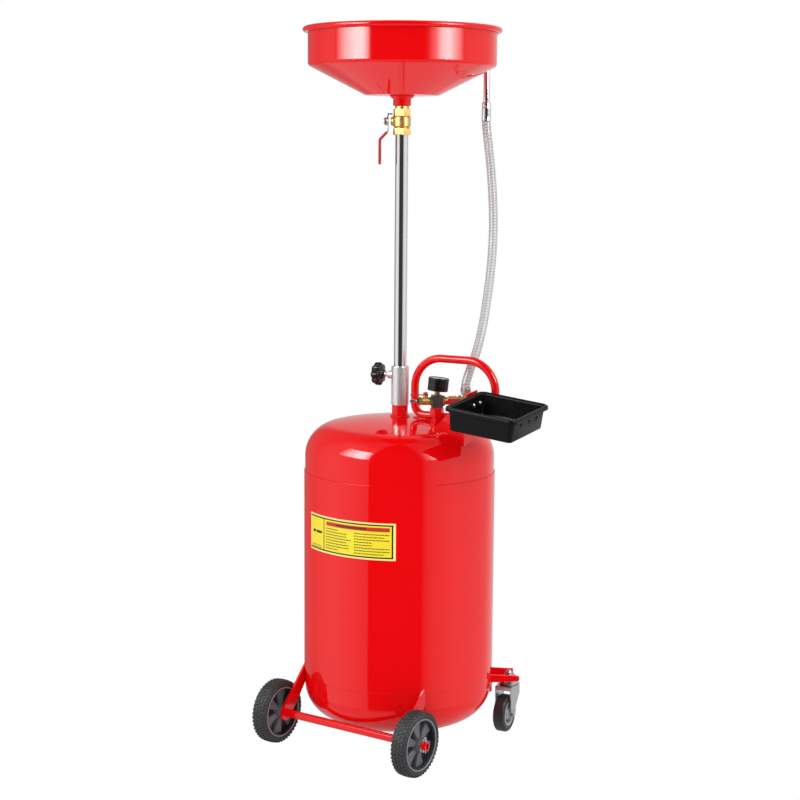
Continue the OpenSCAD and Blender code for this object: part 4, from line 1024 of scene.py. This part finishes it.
@dataclass
class Tray:
    """Moulded tool tray on its welded bracket."""

    shop: Workshop
    length: float = 157.0
    width: float = 160.0
    depth: float = 49.0
    lip: float = 7.0
    draft: float = 3.0
    wall: float = 2.5
    corner: float = 14.0
    lip_h: float = 9.0

    def frame(self) -> Matrix:
        """The tray's own frame, at the middle of its top."""
        return shift(274.4, -59, 741.2) @ turn(5, "Z") @ turn(6.2, "Y") @ turn(5, "X")

    def level(self, inward: float, z: float, corner: float) -> list[tuple[float, float, float]]:
        """One rounded rectangle of the tray."""
        a, b = self.length / 2 - inward, self.width / 2 - inward
        return [(x, y, z) for x, y in box_outline(-a, a, -b, b, corner, 7)]

    def build(self) -> None:
        """Makes the tray with its rolled lip and the three holes in its end."""
        lip, wall, drop = self.lip, self.wall, self.depth
        rings = [
            self.level(lip + self.draft + 2.5, -drop, 6.5),
            self.level(lip + self.draft + 0.9, -drop + 0.9, 8),
            self.level(lip + self.draft, -drop + 3, 8.8),
            self.level(lip + 0.3, -12, 10.4),
            self.level(lip + 0.2, -8.5, 10.5),
            self.level(2.4, -8.0, 12.4),
            self.level(1.5, -self.lip_h, 13.0),
            self.level(0.4, -self.lip_h + 0.4, 13.8),
            self.level(0.0, -self.lip_h + 1.6, self.corner),
            self.level(0.2, -3.2, self.corner),
            self.level(1.1, -1.2, 13.4),
            self.level(2.8, -0.1, 12.6),
            self.level(4.8, 0.0, 11.4),
            self.level(6.4, -0.7, 10.4),
            self.level(7.2, -2.0, 9.8),
            self.level(lip + wall - 0.4, -3.1, 8.6),
            self.level(lip + wall, -5, 8.2),
            self.level(lip + self.draft + wall - 0.6, -drop + 9, 6.6),
            self.level(lip + self.draft + wall + 0.6, -drop + 4.6, 6.0),
            self.level(lip + self.draft + wall + 3.5, -drop + wall + 0.2, 4.4),
            self.level(lip + self.draft + wall + 8, -drop + wall, 3.0),
        ]
        at = self.frame()
        tray = self.shop.make("tool_tray_moulded", Shape().loft(rings, at), "tank", TRAY_PLASTIC, ["tool_tray"], sharp=50)
        cutter = Shape()
        for y in (-34, 0, 34):
            cutter.lathe([(0, -14), (4.6, -14), (4.6, 14), (0, 14)], 28, at @ shift(self.length / 2 - lip - 3, y, -20) @ turn(90, "Y"))
        self.drill(tray, cutter)

    def drill(self, piece: bpy.types.Object, cutter: Shape) -> None:
        """Cuts holes through a piece and keeps it a plain mesh."""
        mesh = bpy.data.meshes.new("cutter")
        bmesh.ops.transform(cutter.mesh, matrix=self.shop.to_frame, verts=cutter.mesh.verts[:])
        bmesh.ops.recalc_face_normals(cutter.mesh, faces=cutter.mesh.faces[:])
        cutter.mesh.to_mesh(mesh)
        tool = bpy.data.objects.new("cutter", mesh)
        bpy.context.scene.collection.objects.link(tool)
        modifier = piece.modifiers.new("holes", "BOOLEAN")
        modifier.operation, modifier.solver, modifier.object = "DIFFERENCE", "EXACT", tool
        bpy.context.view_layer.update()
        cut = bpy.data.meshes.new_from_object(piece.evaluated_get(bpy.context.evaluated_depsgraph_get()))
        piece.modifiers.clear()
        piece.data = cut
        cut.materials.clear()
        cut.materials.append(TRAY_PLASTIC.build())
        cut.shade_smooth()
        cut.set_sharp_from_angle(angle=math.radians(40))
        bpy.data.objects.remove(tool)
        bpy.data.meshes.remove(mesh)


# ---- manifold ----
@dataclass
class Manifold:
    """Riser, block, gauge, the two small valves and the air plug."""

    shop: Workshop
    tank: Tank
    x: float = 102.0
    y: float = -14.0
    arms: float = 45.0
    gauge_tilt: float = 6.0
    gauge_r: float = 21.25
    gauge_h: float = 27.0

    def at_block(self) -> Matrix:
        """Frame on the riser's axis with X along the arms."""
        return shift(self.x, self.y, 0) @ turn(self.arms, "Z")

    def riser(self) -> None:
        """Painted nipple and socket with the weld at its foot."""
        at, foot = self.at_block(), self.tank.dome(math.hypot(self.x, self.y))
        shape = Shape().disc(10.65, foot - 12, 699, 0.5, at).prism(hexagon(25), 697, 716, 1.1, at)
        ring = [Vector((self.x + 12 * math.cos(a), self.y + 12 * math.sin(a), 0)) for a in (2 * math.pi * k / 32 for k in range(32))]
        for p in ring:
            p.z = self.tank.dome(math.hypot(p.x, p.y)) + 1
        shape.take(self.shop.weld(ring, 2.6, True, 6))
        self.shop.make("manifold_riser_painted", shape, "tank", ENAMEL, ["manifold_riser"])

    def gauge(self) -> None:
        """Case with its bezel, dial with ticks, pointer and lens."""
        at = self.at_block() @ shift(0, 0, 742) @ turn(self.gauge_tilt, "Y")
        stem = Shape().lathe([(0, -6), (3.9, -6), (3.9, 0), *rounded([(4.5, 0), (4.5, 3), (7.4, 9)], 0.6, 2, False), (0, 9.4)], 32, at)
        stem.prism(hexagon(11), 0.4, 3.6, 0.5, at)
        self.shop.make("gauge_stem_brass", stem, "tank", BRASS, ["gauge_stem"])
        r, h, base = self.gauge_r, self.gauge_h, 9.0
        outline = [(0, base), (r - 3, base), *arc((r - 2.2, base + 2), 2, -90, 0, 4), (r - 0.2, base + h - 8),
                   (r, base + h - 7.4), (r, base + h - 1.2),
                   *arc((r - 1.2, base + h - 1.2), 1.2, 0, 90, 3), (r - 2.1, base + h - 0.3), (r - 2.1, base + h - 7), (0, base + h - 7)]
        self.shop.make("gauge_case_moulded", Shape().lathe(outline, 72, at), "tank", PHENOLIC, ["gauge_case"])
        face = base + h - 6.9
        dial = Shape().disc(r - 2.2, face, face + 0.9, 0.2, at, 64)
        tick = Shape().bulk((-1.6, 1.6), (-0.25, 0.25), (0, 0.12), 0.04)
        long_tick = Shape().bulk((-2.2, 2.2), (-0.45, 0.45), (0, 0.14), 0.04)
        for count, radius, stamp in ((60, r - 5, tick), (12, r - 5.6, long_tick)):
            mesh = self.shop.patterns.run(Pattern.ROUND_A_CIRCLE, DIAL_INK, stamp=stamp, count=count, radius=radius, seed=1, unevenness=0.0)
            dial.take(mesh, at @ shift(0, 0, face + 0.85), 1)
        self.shop.make("gauge_dial_printed", dial, "tank", [DIAL, DIAL_INK], ["gauge_dial"])
        self.shop.dress("gauge_needle", DIAL_INK)
        self.shop.make("gauge_lens_clear", Shape().disc(r - 2.15, base + h - 2.6, base + h - 0.8, 0.5, at, 64), "tank", LENS, ["gauge_lens"])

    def build(self) -> None:
        """Makes the manifold's pieces."""
        self.riser()
        self.gauge()
        shop = self.shop
        shop.soften("manifold_block", "tank", BLOCK_STEEL, 1.0)
        shop.dress("dip_tube", ZINC)
        for node in ("air_valve_body", "discharge_valve_body", "hose_elbow"):
            shop.soften(node, "tank", BRASS, 0.35)
        shop.soften("air_plug", "tank", CHROME, 0.3)
        shop.soften("air_valve_lever", "air_valve_handle", VINYL, 0.35)
        shop.soften("discharge_valve_lever", "discharge_valve_handle", VINYL, 0.6)


# ---- hose ----
@dataclass
class Hose:
    """Clear discharge hose with a wire in its wall, its clamp, ferrule and hooked nozzle."""

    shop: Workshop
    radius: float = 9.25
    bore: float = 7.2
    route: tuple[tuple[float, float, float], ...] = (
        (144.43, 28.43, 742), (144.43, 28.43, 764), (146, 40, 790), (148, 62, 828), (144.5, 90, 878), (138, 116, 932),
        (129, 146, 1005), (118, 169, 1078), (105, 186, 1142), (91, 197.5, 1212), (80.5, 202.5, 1262), (75.64, 203.39, 1295.4),
        (75.64, 203.39, 1305.4))
    nozzle_compass: float = 69.6
    nozzle_ring: float = 217.0
    nozzle_r: float = 6.8
    hook_r: float = 17.0
    hook_z: float = 1475.5
    foot: float = 1299.4
    head: float = 1339.4

    def at_nozzle(self) -> Matrix:
        """Frame on the nozzle's upright, X outwards."""
        return turn(self.nozzle_compass, "Z") @ shift(self.nozzle_ring, 0, 0)

    def build(self) -> None:
        """Makes the hose and what it carries."""
        shop, at = self.shop, self.at_nozzle()
        line = smooth_path(self.route, 10)
        tube = shop.make("hose_clear", self.pipe(line), "tank", CLEAR_HOSE, ["hose"], sharp=60)
        wire = Shape().take(shop.patterns.run(Pattern.WIRE_HELIX, HOSE_WIRE, line, pitch=6.4, radius=9.0, wire=0.62, step=0.45))
        coil = shop.make("hose_wire", wire, "tank", HOSE_WIRE, sharp=80)
        low = shop.point(self.route[0])
        high = shop.point(self.route[-1])
        path = [shop.point(p) for p in line]
        upright = [(0, 0, self.foot + 8), *[(0, 0, z) for z in range(1320, 1470, 30)]]
        hook = [(x, 0, z) for x, z in arc((-self.hook_r, self.hook_z), self.hook_r, 0, 180, 20)]
        tip = [(-2 * self.hook_r, 0, self.hook_z - 14), (-2 * self.hook_r, 0, self.hook_z - 28)]
        nozzle = Shape().tube(upright + hook + tip, self.nozzle_r, 32, at)
        shop.make("nozzle_tube_chromed", nozzle, "mast", CHROME, ["nozzle_tube"], sharp=50)
        head, foot = self.head, self.foot
        corners = [(self.nozzle_r, head - 1.5), (self.nozzle_r + 1.4, head), (9.6, head - 2), (9.8, head - 9), (9.2, head - 11),
                   (9.8, head - 13), (9.8, foot + 9), (10.15, foot + 5), (9.7, foot + 3.4), (10.15, foot + 1.5), (9.9, foot),
                   (9.35, foot + 0.2), (9.35, head - 20)]
        collar = Shape().lathe(rounded(corners, [0.3, 0.5, 0.8, 0.8, 0.5, 0.8, 0.8, 0.6, 0.5, 0.5, 0.3, 0.1, 0.3], 3), 48, at)
        ferrule = shop.make("hose_ferrule_chromed", collar, "mast", CHROME, ["hose_ferrule"])
        for piece in (tube, coil):
            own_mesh(piece)
        shop.soften("hose_clamp", "tank", ZINC, 0.3)

    def pipe(self, line: Sequence[Vector]) -> Shape:
        """The hose's wall, closed round both ends."""
        shape = Shape()
        sides = 32
        p = list(line)
        tangents = [(p[min(i + 1, len(p) - 1)] - p[max(i - 1, 0)]).normalized() for i in range(len(p))]
        normal = tangents[0].orthogonal().normalized()
        outer, inner = [], []
        for here, along in zip(p, tangents):
            normal = (normal - along * normal.dot(along)).normalized()
            side = along.cross(normal)
            spokes = [normal * math.cos(2 * math.pi * k / sides) + side * math.sin(2 * math.pi * k / sides) for k in range(sides)]
            outer.append([here + s * self.radius for s in spokes])
            inner.append([here + s * self.bore for s in spokes])
        return shape.loft(outer + inner[::-1], wrap=True)


# ---- running gear ----
@dataclass
class BigWheel:
    """Moulded wheel with flared spokes and a block-tread tyre."""

    shop: Workshop
    side: int
    x: float = 176.0
    y: float = -193.0
    radius: float = 66.7
    width: float = 34.0
    rim_r: float = 52.2
    spokes: int = 6
    blocks: int = 46

    @property
    def name(self) -> str:
        """Which of the two wheels this is."""
        return "left" if self.side < 0 else "right"

    def place(self) -> Matrix:
        """Frame on the axle, Z outwards from the tank."""
        return shift(self.side * self.x, self.y, self.radius) @ turn(90 * self.side, "Y")

    def tyre(self) -> None:
        """Tyre carcass with rows of tread blocks."""
        at, crown, half, floor = self.place(), self.radius - 1.7, self.width / 2, self.rim_r
        shoulder = 10.0
        side_line = [(floor, half - 2.2), (floor + 1.2, half - 0.7), (floor + 3.5, half), (crown - shoulder, half)]
        outline = side_line + arc((crown - shoulder, half - shoulder), shoulder, 84, 6, 8)
        outline += [(crown + 0.25, 0.0)] + [(r, -z) for r, z in outline[::-1]]
        shape = Shape().lathe(outline, 144, at)
        for z in (half, -half):
            bead = ((floor + 4.2, 0), (floor + 4.6, 0.35), (floor + 5.2, 0.35), (floor + 5.6, 0))
            shape.lathe([(r, z * 0.994 + math.copysign(h, z)) for r, h in bead], 144, at)
        rows = ((-10.6, 5.0, 20, 0.0), (-3.7, 5.4, -24, 0.5), (3.7, 5.4, 24, 0.0), (10.6, 5.0, -20, 0.5))
        for z, long, lean, phase in rows:
            drop = 0.9 if abs(z) > 8 else 0.0
            block = Shape().bulk((-1.6, 1.75), (-long / 2, long / 2), (-2.9, 2.9), 0.5, turn(lean, "X"))
            mesh = self.shop.patterns.run(Pattern.ROUND_A_CIRCLE, TYRE, stamp=block, count=self.blocks, radius=crown - drop, seed=2, unevenness=0.0)
            shape.take(mesh, at @ shift(0, 0, z) @ turn(360 / self.blocks * phase, "Z"))
        for sign in (-1, 1):
            lug = Shape().bulk((-2.4, 1.4), (-1.9, 1.9), (-2.4, 2.4), 0.6, turn(-sign * 38, "Y"))
            mesh = self.shop.patterns.run(Pattern.ROUND_A_CIRCLE, TYRE, stamp=lug, count=self.blocks, radius=crown - 3.6, seed=2, unevenness=0.0)
            shape.take(mesh, at @ shift(0, 0, sign * 14.0) @ turn(90 / self.blocks, "Z"))
        self.shop.make(f"{self.name}_tyre_moulded", shape, f"{self.name}_wheel", TYRE, [f"{self.name}_wheel_tyre"])

    def rim(self) -> None:
        """Barrel, edge ring with a painted highlight, flared spokes, web and hub, with painted shade on the barrel's
        inside and on the web.
        """
        at, outer = self.place(), self.rim_r + 0.3
        shape = Shape()
        barrel = [(outer - 5, -15.5), (outer, -15.5), (outer, 15.5), (outer - 5, 15.5), (46.5, 12), (45.4, 0), (46.5, -12)]
        # the barrel's inside and the web take finish 2, the darker nylon painted as shade in the recess between the
        # spokes
        shape.lathe(rounded(barrel, [0.8, 0.6, 0.6, 1.2, 2, 0, 2], 3), 120, at, 2)
        shape.lathe([(0, -2.4), (47, -2.4), (47, 2.4), (0, 2.4)], 72, at, 2)
        shape.lathe(rounded([(8.55, -19), (15, -19), (16, -2), (16, 2), (15, 19), (8.55, 19)], [0.4, 1.2, 0, 0, 1.2, 0.4], 3), 72, at)
        for sign in (1, -1):
            for i in range(self.spokes):
                a = turn(360 / self.spokes * i + 8, "Z")
                stations = ((12.5, 4.4, 11.5), (22, 6.6, 9.4), (34, 9.8, 8.0), (47.5, 14.2, 7.6))
                rings = []
                for r, half, face in stations:
                    across = ((-half + 0.9, face), (half - 0.9, face), (half, face - 0.9), (half + 0.4, 2.0), (-half - 0.4, 2.0), (-half, face - 0.9))
                    rings.append([(r, y, sign * z) for y, z in across])
                shape.loft(rings, at @ a)
            # the flange edge ring takes finish 1, the lighter nylon painted as the highlight along the rim's edge
            edge = ((-0.2, 15.2), (0.25, 16.2), (-0.3, 16.9), (-2.0, 16.9), (-2.6, 16.2), (-2.4, 15.2))
            shape.lathe([(outer + r, sign * z) for r, z in edge], 120, at, 1)
        self.shop.make(f"{self.name}_rim_moulded", shape, f"{self.name}_wheel", [WHEEL_NYLON, RIM_EDGE, WHEEL_WEB],
                       [f"{self.name}_wheel_rim"], sharp=38)

    def build(self) -> None:
        """Makes the wheel."""
        self.tyre()
        self.rim()


@dataclass
class Caster:
    """Swivel caster under its folded bracket."""

    shop: Workshop
    side: int
    x: float = 174.0
    y: float = 168.0
    turned: float = 10.0
    trail: float = 22.0
    radius: float = 40.0
    width: float = 26.0

    @property
    def name(self) -> str:
        """Which of the two casters this is."""
        return "left" if self.side < 0 else "right"

    def swivel(self) -> Matrix:
        """Frame on the swivel's axis."""
        return shift(self.side * self.x, self.y, 0) @ turn(self.turned, "Z")

    def wheel(self) -> None:
        """Tyre and hub of the caster's wheel."""
        at = self.swivel() @ shift(0, -self.trail, self.radius) @ turn(90, "Y")
        half, r = self.width / 2, self.radius
        flank = [(27.0, half - 1.6), (29.0, half - 0.6), (33.0, half - 0.4)]
        line = flank + arc((r - 6.0, half - 6.4), 6.0, 80, 8, 6) + [(r, 0.0)]
        tyre = Shape().lathe(line + [(a, -z) for a, z in line[-2::-1]], 96, at)
        self.shop.make(f"{self.name}_caster_tyre_moulded", tyre, f"{self.name}_caster_wheel", CASTER_RUBBER, [f"{self.name}_caster_tyre"])
        drum = [(22, -half + 0.8), (27.2, -half + 0.8), (27.2, half - 0.8), (22, half - 0.8), (20.5, 6), (20.5, -6)]
        hub = Shape().lathe(rounded(drum, [1.5, 0.5, 0.5, 1.5, 1, 1], 3), 80, at)
        hub.lathe([(4.1, -5.5), (21, -5.5), (21, 5.5), (4.1, 5.5)], 64, at, 1)
        hub.lathe(rounded([(4.1, -15.4), (8, -15.4), (14.5, -8), (14.5, 8), (8, 15.4), (4.1, 15.4)], [0.3, 1, 2, 2, 1, 0.3], 3), 64, at)
        self.shop.make(f"{self.name}_caster_hub_moulded", hub, f"{self.name}_caster_wheel", [HUB_PLASTIC, CASTER_RUBBER], [f"{self.name}_caster_hub"])

    def build(self) -> None:
        """Makes the wheel, fork, axle and bracket."""
        self.wheel()
        self.shop.soften(f"{self.name}_caster_fork", f"{self.name}_caster", ZINC, 0.9)
        self.shop.soften(f"{self.name}_caster_axle", f"{self.name}_caster", ZINC, 0.5)
        self.shop.soften(f"{self.name}_caster_bracket", "tank", ENAMEL, 0.8)


@dataclass
class RunningGear:
    """Axle, its brackets, the two big wheels and the two casters."""

    shop: Workshop

    def build(self) -> None:
        """Makes everything that the tank rolls on."""
        for side in (-1, 1):
            BigWheel(self.shop, side).build()
            Caster(self.shop, side).build()
        for node in ("left_axle_bracket", "right_axle_bracket"):
            self.shop.soften(node, "tank", ENAMEL, 0.9)
        self.shop.soften("axle_tube", "tank", ENAMEL, 0.5)
        self.shop.soften("axle_washers", "tank", ZINC, 0.3)
        self.shop.soften("cotter_pins", "tank", ZINC, 0.0)
        self.shop.soften("caster_kingpins", "tank", ZINC, 0.5)
        self.shop.soften("caster_races", "tank", ZINC, 0.8)


# ---- studio ----
@dataclass
class Studio:
    """White room, camera and the light it sees by."""

    shop: Workshop
    distance: float = 3.552
    height: float = 1.232
    pitch: float = 8.18
    roll: float = 0.40
    lens: float = 77.33

    def camera(self) -> None:
        """A long lens a little above the tank, looking slightly down."""
        a, e = math.radians(CAMERA_AZIMUTH), math.radians(self.pitch)
        data = bpy.data.cameras.new("camera")
        data.lens, data.sensor_width = self.lens, 36.0
        camera = bpy.data.objects.new("camera", data)
        bpy.context.scene.collection.objects.link(camera)
        look = Vector((-math.sin(a) * math.cos(e), math.cos(a) * math.cos(e), -math.sin(e)))
        camera.rotation_mode = "QUATERNION"
        camera.rotation_quaternion = look.to_track_quat("-Z", "Y") @ Matrix.Rotation(math.radians(self.roll), 3, "Z").to_quaternion()
        camera.location = self.shop.axis + Vector((math.sin(a) * self.distance, -math.cos(a) * self.distance, self.height))
        bpy.context.scene.camera = camera

    def floor(self) -> None:
        """A pale floor that camera rays see as plain white, like the room."""
        shape = Shape().lathe([(0, -30), (9000, -30), (9000, -1), (0, -1)], 96)
        bm = shape.mesh
        bmesh.ops.transform(bm, matrix=self.shop.to_frame, verts=bm.verts[:])
        bmesh.ops.recalc_face_normals(bm, faces=bm.faces[:])
        mesh = bpy.data.meshes.new("floor")
        bm.to_mesh(mesh)
        material = bpy.data.materials.new("pale_floor")
        material.use_nodes = True
        tree = material.node_tree
        shader = tree.nodes["Principled BSDF"]
        shader.inputs["Base Color"].default_value = linear("F4F4F4")
        shader.inputs["Roughness"].default_value = 0.9
        shader.inputs["Specular IOR Level"].default_value = 0.0
        seen = add(tree, "ShaderNodeLightPath").outputs["Is Camera Ray"]
        glow = add(tree, "ShaderNodeEmission", {"Color": (1, 1, 1, 1), "Strength": 1.0}).outputs[0]
        mixed = add(tree, "ShaderNodeMixShader", {0: seen, 1: shader.outputs[0], 2: glow}).outputs[0]
        tree.links.new(mixed, tree.nodes["Material Output"].inputs["Surface"])
        mesh.materials.append(material)
        floor = bpy.data.objects.new("floor", mesh)
        bpy.context.scene.collection.objects.link(floor)
        floor.visible_glossy = False

    def turned(self, tree: bpy.types.NodeTree, place: bpy.types.NodeSocket) -> tuple[bpy.types.NodeSocket, bpy.types.NodeSocket]:
        """Splits a direction into a share of the full turn, measured from the camera's side, and its height."""
        level = add(tree, "ShaderNodeVectorRotate", {"Vector": place, "Angle": -math.radians(CAMERA_AZIMUTH)}, rotation_type="Z_AXIS").outputs[0]
        split = add(tree, "ShaderNodeSeparateXYZ", {0: level})
        back = add(tree, "ShaderNodeMath", {0: split.outputs["Y"], 1: -1.0}, operation="MULTIPLY").outputs[0]
        angle = add(tree, "ShaderNodeMath", {0: split.outputs["X"], 1: back}, operation="ARCTAN2").outputs[0]
        share = add(tree, "ShaderNodeMapRange", {"Value": angle, "From Min": -math.pi, "From Max": math.pi}).outputs["Result"]
        return share, split.outputs["Z"]

    @staticmethod
    def ramp(tree: bpy.types.NodeTree, source: bpy.types.NodeSocket, stops: Sequence[tuple[float, float]],
             low: float, high: float) -> bpy.types.NodeSocket:
        """A curve of brightness whose source runs from 0 at the low value to 1 at the high one."""
        node = add(tree, "ShaderNodeValToRGB", {0: source})
        line = node.color_ramp
        for place, value in stops:
            line.elements.new((place - low) / (high - low)).color = (value, value, value, 1)
        line.elements.remove(line.elements[0])
        line.elements.remove(line.elements[-1])
        return node.outputs["Color"]

    def boxes(self) -> None:
        """Two tall bright boxes, high up on each side, that only reflections see."""
        shape = Shape()
        radius, low, high = 2000.0, 1440.0, 2600.0
        for start, end in ((-84, -36), (28.5, 76)):
            rings = []
            for k in range(25):
                a = math.radians(CAMERA_AZIMUTH - 90 + start + (end - start) * k / 24)
                corners = ((radius, low), (radius + 20, low), (radius + 20, high), (radius, high))
                rings.append([(r * math.cos(a), r * math.sin(a), z) for r, z in corners])
            shape.loft(rings)
        bm = shape.mesh
        bmesh.ops.transform(bm, matrix=Matrix.Scale(MM, 4), verts=bm.verts[:])
        mesh = bpy.data.meshes.new("soft_boxes")
        bm.to_mesh(mesh)
        material = bpy.data.materials.new("soft_box_glow")
        material.use_nodes = True
        tree = material.node_tree
        tree.nodes.clear()
        share, height = self.turned(tree, add(tree, "ShaderNodeTexCoord").outputs["Object"])
        across = self.ramp(tree, share, ((-84, 0), (-78, 0.2), (-66, 0.65), (-55, 1), (-46, 1), (-39, 0.35), (-36.5, 0), (28.5, 0), (33, 0.08),
                                           (39, 0.2), (46, 0.75), (55, 0.95), (61, 0.6), (68, 0.3), (76, 0.02)), -180, 180)
        rise = add(tree, "ShaderNodeMapRange", {"Value": height, "From Min": low * MM, "From Max": high * MM}).outputs["Result"]
        band = self.ramp(tree, rise, ((low, 0.5), (1500, 1), (2300, 0.9), (high, 0.1)), low, high)
        glow = add(tree, "ShaderNodeMath", {0: across, 1: band}, operation="MULTIPLY").outputs[0]
        strong = add(tree, "ShaderNodeMath", {0: glow, 1: 17.0}, operation="MULTIPLY").outputs[0]
        add(tree, "ShaderNodeOutputMaterial", {"Surface": add(tree, "ShaderNodeEmission", {"Strength": strong}).outputs[0]})
        mesh.materials.append(material)
        panel = bpy.data.objects.new("soft_boxes", mesh)
        panel.location = self.shop.axis
        bpy.context.scene.collection.objects.link(panel)
        panel.visible_camera = panel.visible_diffuse = panel.visible_shadow = panel.visible_transmission = False

    def room(self) -> None:
        """The light round the object: a dim gap behind the camera, pale walls beside it and a white floor below."""
        world = bpy.data.worlds.new("studio")
        bpy.context.scene.world = world
        world.use_nodes = True
        tree = world.node_tree
        tree.nodes.clear()
        share, height = self.turned(tree, add(tree, "ShaderNodeTexCoord").outputs["Generated"])
        wall = self.ramp(tree, share, ((-179, 0.40), (-162, 0.12), (-139, 0.18), (-122, 0.22), (-102, 0.43),
                                        (-84, 0.58), (-69, 0.55), (-55, 0.50), (-42, 0.38), (-37.5, 0.34), (-36.5, 0.025), (27, 0.025),
                                        (29, 0.14), (33, 0.26), (43, 0.42), (56, 0.48), (70, 0.55), (86, 0.52), (104, 0.45),
                                        (127, 0.36), (147, 0.45), (179, 0.42)), -180, 180)
        rise = add(tree, "ShaderNodeMapRange", {"Value": height, "From Min": -1.0, "From Max": 1.0}).outputs["Result"]
        ceiling = self.ramp(tree, rise, ((-1, 0), (-0.55, 0), (-0.4, 1), (0.8, 1), (0.93, 0.4), (1, 0.4)), -1.001, 1.001)
        ground = self.ramp(tree, rise, ((-1, 0.78), (-0.58, 0.78), (-0.42, 0), (1, 0)), -1.001, 1.001)
        sides = add(tree, "ShaderNodeMath", {0: wall, 1: ceiling}, operation="MULTIPLY").outputs[0]
        sides = add(tree, "ShaderNodeMath", {0: sides, 1: 2.0}, operation="MULTIPLY").outputs[0]
        total = add(tree, "ShaderNodeMath", {0: sides, 1: ground}, operation="ADD").outputs[0]
        path = add(tree, "ShaderNodeLightPath").outputs
        mirror = add(tree, "ShaderNodeBackground", {"Strength": total}).outputs[0]
        soft = add(tree, "ShaderNodeBackground", {"Color": (1, 1, 1, 1), "Strength": 1.12}).outputs[0]
        white = add(tree, "ShaderNodeBackground", {"Color": (1, 1, 1, 1), "Strength": 1.0}).outputs[0]
        light = add(tree, "ShaderNodeMixShader", {0: path["Is Glossy Ray"], 1: soft, 2: mirror}).outputs[0]
        mixed = add(tree, "ShaderNodeMixShader", {0: path["Is Camera Ray"], 1: light, 2: white}).outputs[0]
        add(tree, "ShaderNodeOutputWorld", {"Surface": mixed})

    def build(self) -> None:
        """Sets up the camera, the floor and the light."""
        self.camera()
        self.floor()
        self.boxes()
        self.room()
        bpy.context.scene.view_settings.view_transform = "Standard"


def main() -> None:
    """Builds the drain on its frame."""
    logging.basicConfig(level=logging.INFO, format="%(name)s: %(message)s")
    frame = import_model()
    shop = Workshop(frame)
    Studio(shop).build()
    Hose(shop).build()
    tank = Tank(shop)
    tank.build()
    for part in (Label(shop), Mast(shop, tank), Bowl(shop), DrainValve(shop), Handle(shop, tank), Tray(shop),
                 Manifold(shop, tank), RunningGear(shop)):
        part.build()
    shop.soften("tray_bracket", "tank", ENAMEL, 0.9)
    shop.soften("tray_screws", "tank", ZINC, 0.4)
    LOG.info("%d pieces", shop.count)


if __name__ == "__main__":
    main()
